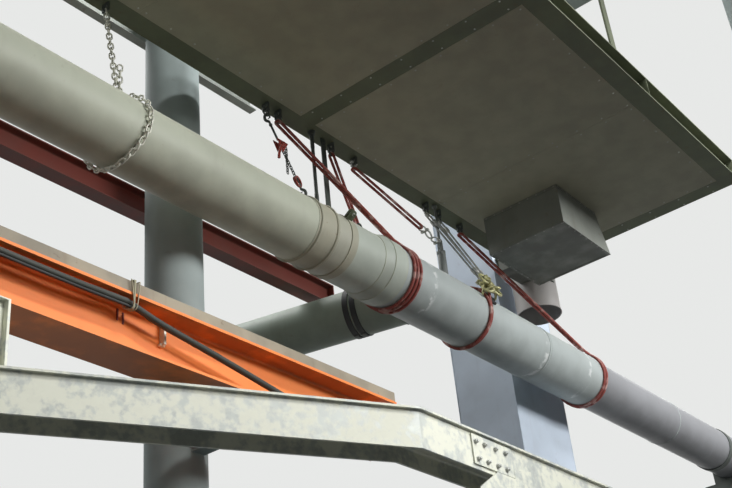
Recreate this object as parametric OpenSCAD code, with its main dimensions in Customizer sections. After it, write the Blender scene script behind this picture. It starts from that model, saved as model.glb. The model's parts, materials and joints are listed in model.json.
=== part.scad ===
// Industrial pipe bridge: a large steel pipe slung under the edge of a boarded deck.
// X runs along the pipe, Y across the bridge and Z up. The floor is at Z = 0.
// The origin is on the floor, in the middle of the length and of the width.

/* [Pipe run] */
// Length of the whole pipe run
run_len = 17000; // [16900:100:19000]
// Outside diameter of the near pipe
pipe_od = 610; // [500:5:680]
// Outside diameter of the tee piece
tee_od = 640; // [560:5:700]
// Outside diameter of the far pipe, which enters the tee piece
far_od = 612; // [500:1:614]
// Outside diameter of the end pipe, which enters the far pipe
end_od = 580; // [460:2:586]
// Wall of the pipes
pipe_wall = 12; // [6:1:14]
// Height of the pipe's axis above the floor
pipe_z = 7270; // [6900:10:7500]
// Distance of the pipe's axis from the middle of the width
pipe_y = 960; // [940:1:980]
// Outside diameter of the branch
branch_od = 510; // [350:5:540]
// Angle of the branch in plan, from the pipe's own direction
branch_turn = 104; // [90:0.5:108]

/* [Deck] */
// Length of one deck bay
bay_len = 2170; // [1900:10:2300]
// Number of deck bays
bays = 5; // [4:1:6]
// Width of the deck
deck_w = 2426; // [2200:2:2700]
// Height of the deck's underside
deck_z = 8600; // [8300:50:8700]
// Depth of the deck's edge beams
edge_h = 240; // [180:5:300]
// Thickness of the soffit boards
board_t = 18; // [12:1:30]

/* [Columns and beams] */
// Half of the whole width, from the cross beams' right end to the end of the branch
half_width = 3440; // [3400:10:3600]
// Diameter of the round columns
column_od = 510; // [400:10:540]
// Wall of the round columns
column_wall = 16; // [10:1:25]
// Height of the columns, to the underside of the cross beams
column_h = 9850; // [9600:10:10400]
// Depth of the cross beams
cross_h = 300; // [240:10:400]
// Depth of the runway beams
runway_h = 250; // [200:10:300]
// Length of the boxed pier along the bridge
pier_len = 1160; // [900:10:1400]
// Width of the boxed pier
pier_w = 790; // [700:5:850]
// Plate that the boxed pier is made of
pier_wall = 16; // [8:1:30]

/* [Lower beams] */
// Height of the orange girder's underside
girder_z = 5150; // [5000:10:5300]
// Depth of the orange girder
girder_h = 425; // [300:5:500]
// Width of the orange girder's flanges
girder_w = 340; // [240:10:360]
// Height of the galvanised beam's top
galv_z = 4640; // [4400:10:4800]
// Depth and width of the galvanised beam
galv_h = 280; // [200:10:300]
// Turn of the galvanised beam in plan where it is cut on the mitre
galv_turn = 26.2; // [24:0.1:28]
// Depth of the red beam
red_h = 240; // [200:10:260]

/* [Slings] */
// Thickness of the red round slings
sling_d = 50; // [30:1:56]
// Thickness of the wire ropes
rope_d = 22; // [12:1:30]
// Thickness of the chain
chain_d = 40; // [20:1:50]

/* [Hidden] */
$fn = 64;
fit = 0.3;
eps = 1;
big = 20000;

// Places along the run are stations, measured from the near end of the pipe
function at(station) = station - run_len / 2;

column_station = [1200, 6580];
pier_station = 11640;
cross_w = 260;
cross_station = [column_station[0], column_station[1], 9400];
deck_station = 1130;
deck_len = bays * bay_len;
coupling_station = 7505;
clamp_station = [column_station[0] + 900, 7860];
bell_station = 8620;
branch_station = 9260;
lean = branch_turn - 90;
branch_len = (half_width - pipe_y - branch_od / 2 * sin(lean)) / cos(lean);
tee_end_station = 10120;
far_end_station = 12580;
end_clamp_station = 16190;
trestle_station = run_len - 200;

deck_y = 920;
edge_w = 200;
column_y = 1700;
base_w = 760;
runway_w = 96;
runway_gap = 65;
cross_over = 20;
right_y = half_width - cross_over - runway_w - runway_gap - column_od / 2;
pier_y = 1400;
runway_inner = 2020;

module along_x(len) { rotate([90, 0, 90]) linear_extrude(len) children(); }
module along_y(len) { translate([0, len, 0]) rotate([90, 0, 0]) linear_extrude(len) children(); }

// An outline of radius against length, turned about the pipe's axis
module ring_on_pipe(station) {
    translate([at(station), pipe_y, pipe_z]) rotate([0, 90, 0]) rotate_extrude() children();
}

module pipe_length(from, to, od) {
    ring_on_pipe(from) translate([od / 2 - pipe_wall, 0]) square([pipe_wall, to - from]);
}

// Root fillet in the corner at the origin, opening to the right and upwards
module root(r) {
    difference() {
        translate([-eps, -eps]) square([r + eps, r + eps]);
        translate([r, r]) circle(r = r);
    }
}

// Rolled section standing on its lower flange, centred across
module i_section(h, w, web, flange) {
    translate([-w / 2, 0]) square([w, flange]);
    translate([-w / 2, h - flange]) square([w, flange]);
    translate([-web / 2, 0]) square([web, h]);
    for (side = [0, 1], top = [0, 1])
        translate([0, top * h]) mirror([0, top]) mirror([side, 0])
            translate([web / 2, flange]) root(flange);
}

// The same section laid over, with its flanges upright and its web flat
module h_section(h, w, web, flange) { rotate(90) translate([0, -w / 2]) i_section(w, h, web, flange); }

// Channel with its back at zero and its flanges to the right
module c_section(h, w, web, flange) {
    square([web, h]);
    for (top = [0, 1])
        translate([0, top * h]) mirror([0, top]) {
            square([w, flange]);
            translate([web, flange]) root(flange * 0.8);
        }
}

// A straight round bar between two points
module bar(a, b, d) {
    v = b - a;
    len = norm(v);
    translate(a) rotate([0, acos(v.z / len), atan2(v.y, v.x)]) cylinder(d = d, h = len);
}

module torus(r, d) { rotate_extrude() translate([r, 0]) circle(d = d); }

module column_paint() { color([0.42, 0.47, 0.46]) children(); }
module pipe_paint() { color([0.62, 0.66, 0.61]) children(); }
module dark_steel() { color([0.17, 0.19, 0.18]) children(); }
module zinc() { color([0.62, 0.64, 0.60]) children(); }
module sling_red() { color([0.45, 0.10, 0.09]) children(); }

module pipe_near() { pipe_paint() pipe_length(0, coupling_station - fit, pipe_od); }

// The middle pipe ends in a bell, which the tee piece enters
bell_len = 180;
flare_len = 120;
bell_r = tee_od / 2 + 2;
module pipe_middle() {
    in = pipe_od / 2 - pipe_wall;
    total = bell_station - coupling_station;
    straight = total - bell_len - flare_len;
    pipe_paint() ring_on_pipe(coupling_station) polygon([
        [in, 0],
        [in + pipe_wall, 0],
        [in + pipe_wall, straight],
        [bell_r + pipe_wall, straight + flare_len],
        [bell_r + pipe_wall, total],
        [bell_r, total],
        [bell_r, straight + flare_len],
        [in, straight]]);
    pipe_paint() translate([at(pipe_lug_station), pipe_y, pipe_z]) difference() {
        translate([-pipe_lug_w / 2, -pipe_lug_t / 2, pipe_od / 2 - pipe_wall / 2])
            cube([pipe_lug_w, pipe_lug_t, pipe_lug_h + pipe_wall / 2]);
        translate([0, pipe_lug_t, pipe_od / 2 + pipe_lug_h - 35]) rotate([90, 0, 0])
            cylinder(d = lug_hole, h = 2 * pipe_lug_t);
    }
}
pipe_lug_station = 8350;
pipe_lug_w = 110;
pipe_lug_t = 16;
pipe_lug_h = 90;

// Axis of the branch, from the pipe's axis outwards
module at_branch() {
    translate([at(branch_station), pipe_y, pipe_z]) rotate([0, 90, branch_turn]) children();
}

module pipe_tee() {
    pipe_paint() difference() {
        pipe_length(bell_station - bell_len + 10, tee_end_station, tee_od);
        at_branch() cylinder(d = branch_od - 2 * pipe_wall, h = tee_od);
    }
}

// Packing ring that closes the gap between the bell and the tee piece
module tee_ring() {
    pipe_paint() ring_on_pipe(bell_station + fit)
        translate([tee_od / 2 + fit, 0]) square([pipe_wall, 15]);
}

socket_len = 150;
module pipe_far() {
    lap = (tee_od - far_od) / 2 - pipe_wall;
    pipe_paint() {
        pipe_length(tee_end_station - socket_len, far_end_station, far_od);
        ring_on_pipe(tee_end_station - 40)
            translate([far_od / 2 - eps, 0]) square([lap - fit + eps, 40]);
        for (s = weld_stations)
            ring_on_pipe(s) translate([far_od / 2 - eps, 0]) square([4, 30]);
    }
}
weld_stations = [11300];

module pipe_end() {
    lap = (far_od - end_od) / 2 - pipe_wall;
    pipe_paint() {
        pipe_length(far_end_station - socket_len, run_len, end_od);
        ring_on_pipe(far_end_station - 40)
            translate([end_od / 2 - eps, 0]) square([lap - fit + eps, 40]);
    }
}

module branch_pipe() {
    color([0.44, 0.50, 0.45]) difference() {
        at_branch() difference() {
            cylinder(d = branch_od, h = branch_len);
            translate([0, 0, -eps]) cylinder(d = branch_od - 2 * pipe_wall, h = branch_len + 2 * eps);
        }
        translate([at(0), pipe_y, pipe_z]) rotate([0, 90, 0])
            cylinder(d = tee_od + 2 * fit, h = run_len);
    }
}

// Sleeve with two rolled beads over the joint of the near pipe
sleeve_len = 280;
sleeve_t = 6;
bead_r = 14;
bead_inset = 30;
module pipe_coupling() {
    color([0.58, 0.60, 0.54]) ring_on_pipe(coupling_station - sleeve_len / 2) union() {
        translate([pipe_od / 2 + fit, 0]) square([sleeve_t, sleeve_len]);
        for (z = [bead_inset, sleeve_len - bead_inset])
            translate([pipe_od / 2 + fit + sleeve_t, z]) intersection() {
                circle(r = bead_r);
                translate([-eps, -bead_r]) square([bead_r + eps, 2 * bead_r]);
            }
    }
}

// Clamp band with an ear on top, hung on a rod and a flat bar from the deck edge
clamp_w = 90;
clamp_t = 8;
ear_len = 260;
ear_t = 50;
ear_h = 60;
rod_d = 36;
rod_at = -60;
flat_at = 110;
flat_w = 65;
flat_t = 12;
rod_y = deck_y + edge_w / 2;
clamp_top = pipe_z + pipe_od / 2 + clamp_t + ear_h;
module hanger(station) {
    dark_steel() {
        difference() {
            union() {
                ring_on_pipe(station - clamp_w / 2)
                    translate([pipe_od / 2 + fit, 0]) square([clamp_t, clamp_w]);
                translate([at(station) - ear_len / 2 + 25, rod_y - ear_t / 2, pipe_z])
                    cube([ear_len, ear_t, clamp_top - pipe_z]);
            }
            translate([at(0), pipe_y, pipe_z]) rotate([0, 90, 0])
                cylinder(d = pipe_od + 2 * fit, h = run_len);
        }
        translate([at(station) + rod_at, rod_y, clamp_top - eps])
            cylinder(d = rod_d, h = deck_z - clamp_top + eps - fit);
        translate([at(station) + flat_at - flat_w / 2, rod_y - flat_t / 2, clamp_top - eps])
            cube([flat_w, flat_t, deck_z - clamp_top + eps - fit]);
    }
}
module near_hanger() { hanger(clamp_station[0]); }
module middle_hanger() { hanger(clamp_station[1]); }

strap_at = [620, 700];
module branch_strap() {
    color([0.08, 0.08, 0.08]) at_branch() for (z = strap_at)
        translate([0, 0, z]) rotate_extrude()
            translate([branch_od / 2 + fit, 0]) square([10, 60]);
}

module end_clamp() {
    color([0.35, 0.37, 0.35]) difference() {
        union() {
            ring_on_pipe(end_clamp_station - 50)
                translate([end_od / 2 + fit, 0]) square([12, 100]);
            translate([at(end_clamp_station) - 50, pipe_y - 40, pipe_z])
                cube([100, 80, end_od / 2 + 75]);
        }
        translate([at(0), pipe_y, pipe_z]) rotate([0, 90, 0])
            cylinder(d = end_od + 2 * fit, h = run_len);
    }
}

// Deck: an edge beam along each side, boards between their lower flanges, joists on
// the boards and a floor plate on top
edge_web = 10;
edge_t = 14;
deck_x = at(deck_station);
frame_z = deck_z + board_t;
module deck_edge(y) {
    color([0.25, 0.29, 0.26]) translate([deck_x, y, deck_z])
        along_x(deck_len) i_section(edge_h, edge_w, edge_web, edge_t);
}
module deck_edge_left() { deck_edge(deck_y + edge_w / 2); }
module deck_edge_right() { deck_edge(deck_y - deck_w - edge_w / 2); }

joist_w = 206;
end_plate = (edge_w - edge_web) / 2 - fit;
function heavy(i) = i == 0 || (bays - i) % 2 == 0;
function joist_x(i) = deck_x + i * bay_len - (i == 0 ? 0 : i == bays ? joist_w : joist_w / 2);
// Heavy joists show a wide plate between the boards; the others stand hidden on the boards
module deck_joists() {
    color([0.28, 0.32, 0.29]) for (i = [0 : bays]) {
        translate([joist_x(i) + joist_w / 2, deck_y - deck_w + fit, frame_z])
            along_y(deck_w - 2 * fit) i_section(edge_h - board_t, joist_w - 60, 8, 10);
        translate([joist_x(i) + joist_w / 2 - 4, deck_y - deck_w - end_plate, frame_z])
            cube([8, deck_w + 2 * end_plate, edge_h - board_t - edge_t - fit]);
        if (heavy(i))
            translate([joist_x(i), deck_y - deck_w + fit, deck_z])
                cube([joist_w, deck_w - 2 * fit, board_t]);
    }
}

board_gap = 3;
function board_from(i) =
    heavy(i) ? joist_x(i) + joist_w + board_gap : deck_x + i * bay_len + board_gap / 2;
function board_to(i) =
    heavy(i + 1) ? joist_x(i + 1) - board_gap : deck_x + (i + 1) * bay_len - board_gap / 2;
module deck_boards() {
    color([0.60, 0.60, 0.52]) for (i = [0 : bays - 1])
        translate([board_from(i), deck_y - deck_w + fit, deck_z])
            cube([board_to(i) - board_from(i), deck_w - 2 * fit, board_t]);
}

floor_t = 6;
deck_top = deck_z + edge_h + floor_t;
module deck_floor() {
    color([0.38, 0.40, 0.39]) translate([deck_x, deck_y - deck_w, deck_z + edge_h])
        cube([deck_len, deck_w, floor_t]);
}

// Flat hangers from the cross beams down to the deck
hanger_w = 100;
hanger_t = 20;
module deck_hangers() {
    color([0.30, 0.33, 0.32]) for (s = cross_station)
        for (y = [deck_y + edge_w / 2, deck_y - deck_w - edge_w / 2])
            translate([at(s) - hanger_w / 2, y - hanger_t / 2, deck_z + edge_h])
                cube([hanger_w, hanger_t, column_h - deck_z - edge_h]);
}
// Bracket from the pier to the deck's left edge beam
deck_bracket_h = 160;
deck_bracket_w = 120;
module deck_bracket() {
    color([0.30, 0.33, 0.32])
        translate([at(pier_station + deck_bracket_w), deck_y + edge_w + fit,
            deck_z + edge_h - deck_bracket_h])
            along_y(pier_y - deck_y - edge_w - fit) i_section(deck_bracket_h, deck_bracket_w, 8, 12);
}

base_t = 30;
bolt_pitch = 600;
bolt_hole = 36;
module base_holes() {
    for (dx = [-1, 1], dy = [-1, 1])
        translate([dx * bolt_pitch / 2, dy * bolt_pitch / 2, -eps])
            cylinder(d = bolt_hole, h = base_t + 2 * eps);
}
gusset_h = 280;
gusset_t = 16;
module gusset(height) {
    rotate([90, 0, 0]) translate([0, 0, -gusset_t / 2]) linear_extrude(gusset_t)
        polygon([[column_od / 2 - column_wall / 2, 0], [base_w / 2 - 20, 0],
            [base_w / 2 - 20, 40], [column_od / 2 + 20, height],
            [column_od / 2 - column_wall / 2, height]]);
}
module round_column(x, y) {
    column_paint() translate([x, y, 0]) {
        for (turn = [0 : 90 : 270])
            rotate(turn) translate([0, 0, base_t - eps]) gusset(gusset_h);
        difference() {
            translate([-base_w / 2, -base_w / 2, 0]) cube([base_w, base_w, base_t]);
            base_holes();
        }
        difference() {
            translate([0, 0, base_t]) cylinder(d = column_od, h = column_h - 2 * base_t);
            translate([0, 0, base_t + eps])
                cylinder(d = column_od - 2 * column_wall, h = column_h - 2 * base_t - 2 * eps);
        }
        translate([0, 0, column_h - base_t]) cylinder(d = column_od + 60, h = base_t);
    }
}
module column_left_near() { round_column(at(column_station[0]), column_y); }
module column_left_middle() { round_column(at(column_station[1]), column_y); }
module column_right_near() { round_column(at(cross_station[0]), -right_y); }
module column_right_far() { round_column(at(cross_station[2]), -right_y); }

module pier() {
    color([0.45, 0.50, 0.55]) translate([at(pier_station), pier_y, 0]) difference() {
        cube([pier_len, pier_w, column_h]);
        translate([pier_wall, pier_wall, pier_wall])
            cube([pier_len - 2 * pier_wall, pier_w - 2 * pier_wall, column_h - 2 * pier_wall]);
    }
}

runway_right = -right_y - column_od / 2 - runway_gap - runway_w;
module cross_beam(station, left) {
    column_paint() translate([at(station), runway_right - cross_over, column_h])
        along_y(left - runway_right + cross_over) i_section(cross_h, cross_w, 12, 18);
}
cross_left = pier_y + pier_w;
module cross_beam_near() { cross_beam(cross_station[0], cross_left); }
module cross_beam_middle() { cross_beam(cross_station[1], cross_left); }
module cross_beam_far() { cross_beam(cross_station[2], column_y - cross_w / 2 - fit); }
// Beam from the middle cross beam to the pier, which carries the far cross beam
module header_beam() {
    from = cross_station[1] + cross_w / 2 + fit;
    column_paint() translate([at(from), column_y, column_h])
        along_x(pier_station + pier_len - from) i_section(cross_h, cross_w, 12, 18);
}

// Channels hung under the cross beams, outside the columns
runway_from = 900;
runway_left_to = 8120;
runway_right_to = cross_station[2] + 400;
module runway_beam_left() {
    color([0.32, 0.36, 0.36]) translate([at(runway_from), runway_inner, column_h - runway_h])
        along_x(runway_left_to - runway_from)
            translate([runway_w, 0]) mirror([1, 0]) c_section(runway_h, runway_w, 10, 14);
}
module runway_beam_right() {
    color([0.32, 0.36, 0.36])
        translate([at(runway_from), runway_right, column_h - runway_h])
            along_x(runway_right_to - runway_from) c_section(runway_h, runway_w, 10, 14);
}

red_y = 2130;
red_z = 7586;
red_w = 160;
red_from = 900;
red_to = 9230;
bracket_h = 60;
module red_beam() {
    color([0.62, 0.20, 0.14]) {
        translate([at(red_from), red_y, red_z])
            along_x(red_to - red_from) i_section(red_h, red_w, 10, 14);
        translate([at(red_to), red_y - red_w / 2, red_z]) cube([16, red_w, red_h]);
        for (s = column_station)
            difference() {
                translate([at(s) + 100, column_y, red_z - bracket_h])
                    cube([120, red_y - column_y, bracket_h]);
                translate([at(s), column_y, red_z - bracket_h - eps])
                    cylinder(d = column_od + 2 * fit, h = bracket_h + 2 * eps);
            }
    }
}

girder_y = 675;
girder_from = 900;
girder_to = 8000;
module orange_girder() {
    color([0.88, 0.38, 0.13]) translate([at(girder_from), girder_y, girder_z])
        along_x(girder_to - girder_from) i_section(girder_h, girder_w, 12, 22);
}
rail_w = 90;
rail_h = 91;
module girder_rail() {
    color([0.48, 0.50, 0.44])
        translate([at(girder_from), girder_y - girder_w / 2 + 12, girder_z + girder_h])
            cube([girder_to - girder_from, rail_w, rail_h]);
}
// Brackets from the left columns that carry the girder and the galvanised diagonal
girder_bracket_h = 80;
girder_bracket_w = 140;
module girder_brackets() {
    color([0.40, 0.42, 0.40]) for (s = column_station)
        difference() {
            translate([at(s), girder_y - girder_w / 2, girder_z - girder_bracket_h])
                along_y(column_y - girder_y + girder_w / 2)
                    i_section(girder_bracket_h, girder_bracket_w, 10, 14);
            translate([at(s), column_y, girder_z - girder_bracket_h - eps])
                cylinder(d = column_od + 2 * fit, h = girder_bracket_h + 2 * eps);
        }
}

kink_station = 6433;
kink_y = -660;
galv_web = 10;
galv_flange = 17;
diag_len = (kink_station - column_station[0] - 60) / cos(galv_turn);
tie_station = 11800;
// The mitre plane turned to half the angle between the two lengths
module mitre_cut(side) {
    translate([at(kink_station), kink_y, galv_z - galv_h - eps]) rotate([0, 0, -galv_turn / 2])
        translate([side > 0 ? -fit / 2 : -big / 2, -big / 4, 0])
            cube([big / 2 + fit / 2, big / 2, galv_h + 2 * eps]);
}
// The laid section under a cover plate that stands out over its flanges
cover_t = 14;
cover_out = 26;
module galvanised_section() {
    translate([0, (galv_h - cover_t) / 2])
        h_section(galv_h - cover_t, galv_h, galv_web, galv_flange);
    translate([-galv_h / 2 - cover_out, galv_h - cover_t - eps])
        square([galv_h + 2 * cover_out, cover_t + eps]);
}
module galvanised_diagonal() {
    zinc() difference() {
        translate([at(kink_station), kink_y, galv_z - galv_h]) rotate([0, 0, 180 - galv_turn])
            translate([-galv_h, 0, 0]) along_x(diag_len + galv_h) galvanised_section();
        mitre_cut(1);
        translate([at(column_station[0]), column_y, galv_z - galv_h - eps])
            cylinder(d = column_od + 2 * fit, h = galv_h + 2 * eps);
    }
}
module galvanised_beam() {
    zinc() difference() {
        translate([at(kink_station) - galv_h, kink_y, galv_z - galv_h])
            along_x(tie_station - galv_h / 2 - fit - kink_station + galv_h) galvanised_section();
        mitre_cut(-1);
    }
}
splice_station = 7240;
splice_len = 500;
splice_t = 12;
splice_inset = 30;
module galvanised_splice() {
    zinc() for (side = [-1, 1])
        translate([at(splice_station) - splice_len / 2,
            kink_y + side * (galv_h / 2 + splice_t / 2) - splice_t / 2,
            galv_z - galv_h + splice_inset])
            cube([splice_len, splice_t, galv_h - 2 * splice_inset]);
}
// Gusset on the near flange beside the splice, for a brace below
gusset_left = -226;
gusset_right = 489;
gusset_low = -260;
gusset_side = -134;
gusset_bolt = 26;
module galvanised_gusset() {
    step = splice_len / 2 + 4;
    zinc() translate([at(splice_station), kink_y - galv_h / 2, galv_z - galv_h]) rotate([90, 0, 0])
        linear_extrude(splice_t) difference() {
            polygon([[gusset_left, gusset_low], [gusset_left, gusset_side], [26, splice_inset - 3],
                [step, splice_inset - 3], [step, splice_inset + 62], [gusset_right, splice_inset + 100],
                [gusset_right, gusset_low]]);
            for (x = [gusset_left + 60, gusset_left + 180, gusset_right - 180, gusset_right - 60])
                translate([x, gusset_low + 60]) circle(d = gusset_bolt);
        }
}
post_station = 4050;
post_w = 100;
post_y = kink_y + (kink_station - post_station) * tan(galv_turn);
module galvanised_post() {
    zinc() translate([at(post_station) - post_w / 2, post_y - post_w / 2, galv_z])
        cube([post_w, post_w, girder_z - galv_z]);
}
// Tie from a prop across to the pier, which carries the galvanised beam
module galvanised_tie() {
    zinc() translate([at(tie_station), kink_y - galv_h / 2, galv_z - galv_h])
        along_y(pier_y - kink_y + galv_h / 2)
            translate([0, galv_h / 2]) h_section(galv_h, galv_h, galv_web, galv_flange);
}
prop_w = 220;
prop_wall = 12;
prop_base = 420;
prop_top = galv_z - galv_h / 2 - galv_web / 2 - fit;
module galvanised_prop() {
    zinc() translate([at(tie_station), kink_y, 0]) {
        translate([-prop_base / 2, -prop_base / 2, 0]) cube([prop_base, prop_base, 25]);
        difference() {
            translate([-prop_w / 2, -prop_w / 2, 25 - eps])
                cube([prop_w, prop_w, prop_top - 25 + eps]);
            translate([-prop_w / 2 + prop_wall, -prop_w / 2 + prop_wall, 25])
                cube([prop_w - 2 * prop_wall, prop_w - 2 * prop_wall, prop_top - 50]);
        }
    }
}

vent_station = 10460;
vent_len = 860;
vent_y = -200;
vent_w = 955;
vent_h = 480;
vent_t = 4;
spigot_d = 530;
spigot_x = at(11880);
spigot_y = 1020;
spigot_len = 640;
neck_y = 740;
neck_w = 310;
neck_h = 300;
neck_from = at(vent_station) + vent_len - 170;
vent_slope = 180;
// The box with its sloping far end, or the space inside it for a sheet of thickness t
module vent_shell(t) {
    translate([at(vent_station), vent_y + vent_w - t, deck_z]) rotate([90, 0, 0])
        linear_extrude(vent_w - 2 * t)
            polygon([[t, t > 0 ? 1 : 0], [t, t - vent_h],
                [vent_len + vent_slope - t * 1.3, t - vent_h], [vent_len - t, t > 0 ? 1 : 0]]);
}
module neck_inside() {
    translate([neck_from + vent_t, neck_y + vent_t, deck_z - neck_h + vent_t])
        cube([spigot_x - neck_from - vent_t, neck_w - 2 * vent_t, neck_h - 2 * vent_t]);
}
// Box under the deck, open above to the boards, with a neck to the round outlet
module vent_box() {
    color([0.52, 0.55, 0.50]) difference() {
        union() {
            vent_shell(0);
            translate([neck_from, neck_y, deck_z - neck_h])
                cube([spigot_x - neck_from, neck_w, neck_h]);
        }
        vent_shell(vent_t);
        neck_inside();
        translate([spigot_x, spigot_y, deck_z - neck_h - eps])
            cylinder(d = spigot_d + 2 * fit, h = neck_h + 2 * eps);
    }
}
module vent_spigot() {
    color([0.48, 0.50, 0.45]) difference() {
        translate([spigot_x, spigot_y, deck_z - spigot_len]) difference() {
            cylinder(d = spigot_d, h = spigot_len);
            translate([0, 0, -eps])
                cylinder(d = spigot_d - 2 * vent_t, h = spigot_len - vent_t + eps);
        }
        neck_inside();
    }
}

// Lugs under the left edge beam, with a hole for each sling's eye
lug_t = 16;
lug_out = 80;
lug_drop = 90;
lug_hole = 44;
chain_lug = 5200;
hoist_lug = 7140;
collar_lug = 7310;
upper_lug = 8090;
turnbuckle_lug = 8450;
rope_lugs = [9690, 9920];
far_lug = 10340;
lug_stations = concat([chain_lug, hoist_lug, collar_lug, upper_lug, turnbuckle_lug, far_lug],
    rope_lugs);
hole_y = deck_y + edge_w / 2;
hole_z = deck_z - 50;
module sling_lugs() {
    dark_steel() for (s = lug_stations) difference() {
        translate([at(s) - lug_t / 2, hole_y - lug_out / 2, deck_z - lug_drop])
            cube([lug_t, lug_out, lug_drop]);
        translate([at(s) - lug_t, hole_y, hole_z]) rotate([0, 90, 0])
            cylinder(d = lug_hole, h = 2 * lug_t);
    }
}

// The eye is a ring through the lug's hole, which rests on the hole's lower edge
eye_r = 42;
eye_d = 26;
eye_z = hole_z - (lug_hole - eye_d) / 2 + fit + eps - eye_r;
module eye(station) {
    translate([at(station), hole_y, eye_z]) rotate([90, 0, 0]) torus(eye_r, eye_d);
}
function eye_foot(station) = [at(station), hole_y, eye_z - eye_r];

// Turns of a round sling about the pipe, and two legs that leave them at a tangent
leg_d = 40;
// Angle at which a leg from the eye touches a circle of radius r about the pipe's axis
function touch(side, r) =
    let (up = eye_z - eye_r - pipe_z, out = hole_y + side * leg_d / 3 - pipe_y)
        atan2(up, out) - side * acos(r / norm([out, up]));
module sling(top, low, turns, od) {
    r = od / 2 + fit + sling_d / 2;
    sling_red() {
        for (i = [0 : turns - 1])
            ring_on_pipe(low + (i - (turns - 1) / 2) * sling_d * 0.9)
                translate([r, 0]) circle(d = sling_d);
        for (side = [-1, 1])
            bar(eye_foot(top) + [0, side * leg_d / 3, 0],
                [at(low), pipe_y + r * cos(touch(side, r)), pipe_z + r * sin(touch(side, r))], leg_d);
        eye(top);
    }
}
collar_sling_at = bell_station + 130;
middle_sling_at = tee_end_station - 100;
far_sling_at = far_end_station - 80;
module collar_sling() { sling(collar_lug, collar_sling_at, 3, tee_od); }
module upper_sling() {
    ring_z = pipe_z + pipe_od / 2 + pipe_lug_h - 35 - (lug_hole - eye_d) / 2 + fit + eps + eye_r;
    sling_red() {
        eye(upper_lug);
        translate([at(pipe_lug_station), pipe_y, ring_z - 2 * fit]) rotate([0, 90, 0])
            torus(eye_r, eye_d);
        for (side = [-1, 1])
            bar(eye_foot(upper_lug) + [side * leg_d / 3, 0, 0],
                [at(pipe_lug_station) + side * leg_d / 3, pipe_y, ring_z + eye_r], leg_d * 0.8);
    }
}
module middle_sling() {
    r = tee_od / 2 + fit + sling_d / 2;
    sling_red() for (side = [-1, 1])
        ring_on_pipe(middle_sling_at + side * sling_d * 0.48)
            translate([r, 0]) circle(d = sling_d);
}
module far_sling() { sling(far_lug, far_sling_at, 2, far_od); }

// Two wire ropes, gathered by shackles at the middle sling
shackle_turn = 26;
shackle_r = tee_od / 2 + 2 * fit + sling_d + 45;
shackle_at = [at(middle_sling_at), pipe_y - shackle_r * sin(shackle_turn),
    pipe_z + shackle_r * cos(shackle_turn)];
module wire_ropes() {
    color([0.45, 0.46, 0.44]) {
        for (side = [-1, 1])
            translate(shackle_at + [side * 40, 0, 0]) rotate([0, 90, 0]) torus(34, 22);
        translate(shackle_at - [60, 0, -34]) rotate([0, 90, 0]) cylinder(d = 26, h = 120);
        for (i = [0, 1]) {
            eye(rope_lugs[i]);
            bar(eye_foot(rope_lugs[i]), shackle_at + [(i * 2 - 1) * 20, 0, 34], rope_d);
        }
    }
}

// Vertical turnbuckle that the second red sling pulls on
turnbuckle_station = 9810;
turnbuckle_d = 90;
tube_from = 20;
tube_len = 380;
module turnbuckle() {
    foot = pipe_z + tee_od / 2 + fit;
    color([0.40, 0.42, 0.41]) {
        translate([at(turnbuckle_station), pipe_y + 20, foot])
            cylinder(d = 30, h = deck_z - fit - foot);
        translate([at(turnbuckle_station), pipe_y + 20, foot + tube_from])
            cylinder(d = turnbuckle_d, h = tube_len);
        translate([at(turnbuckle_station) - 50, pipe_y + 20 - 8, foot + tube_from + tube_len])
            cube([100, 16, 180]);
    }
    sling_red() {
        eye(turnbuckle_lug);
        bar(eye_foot(turnbuckle_lug), [at(turnbuckle_station) - 30, pipe_y + 20, foot + 520], leg_d);
    }
}

// Chain of welded links from its lug down to the turn that grips the pipe
chain_station = 5290;
link_wire = 14;
link_w = 60;
usual_pitch = 62;
module link(length) {
    straight = length - link_w;
    for (end = [-1, 1]) {
        translate([end * straight / 2, 0, 0]) intersection() {
            torus((link_w - link_wire) / 2, link_wire);
            translate([end > 0 ? 0 : -link_w, -link_w, -link_wire])
                cube([link_w, 2 * link_w, 2 * link_wire]);
        }
        translate([-straight / 2, end * (link_w - link_wire) / 2, 0]) rotate([0, 90, 0])
            cylinder(d = link_wire, h = straight);
    }
}
module near_chain() {
    r = pipe_od / 2 + fit + chain_d / 2;
    top = [at(chain_lug), hole_y, hole_z - lug_hole / 2 + fit + eps];
    foot = [at(chain_station), pipe_y, pipe_z + r + chain_d / 2 + fit];
    run = foot - top;
    count = round((norm(run) - link_wire) / usual_pitch);
    pitch = (norm(run) - link_wire) / count;
    turn = atan2(run.y, run.x);
    color([0.66, 0.66, 0.60]) {
        ring_on_pipe(chain_station) translate([r, 0]) circle(d = chain_d);
        translate(top) rotate([0, acos(run.z / norm(run)), turn]) rotate([0, 0, turn])
            for (i = [0 : count - 1])
                translate([0, 0, (i + 0.5) * pitch]) rotate([0, 90, (i + 1) % 2 * 90])
                    link(pitch + 2 * link_wire + fit);
    }
}
module lever_hoist() {
    top = eye_foot(hoist_lug);
    foot = [at(coupling_station) + 60, pipe_y, pipe_z + pipe_od / 2 + sleeve_t + 12 + fit];
    color([0.30, 0.18, 0.15]) {
        eye(hoist_lug);
        bar(top, foot, 24);
        translate((top + foot) / 2) rotate([0, 40, 0]) cube([60, 50, 160], center = true);
    }
}

cable_d = 48;
module girder_cable() {
    color([0.10, 0.11, 0.11]) translate([at(girder_from), girder_y - girder_w / 2 + 40,
        girder_z + girder_h - 22 - cable_d / 2 - fit]) rotate([0, 90, 0])
        cylinder(d = cable_d, h = girder_to - girder_from);
}

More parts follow.
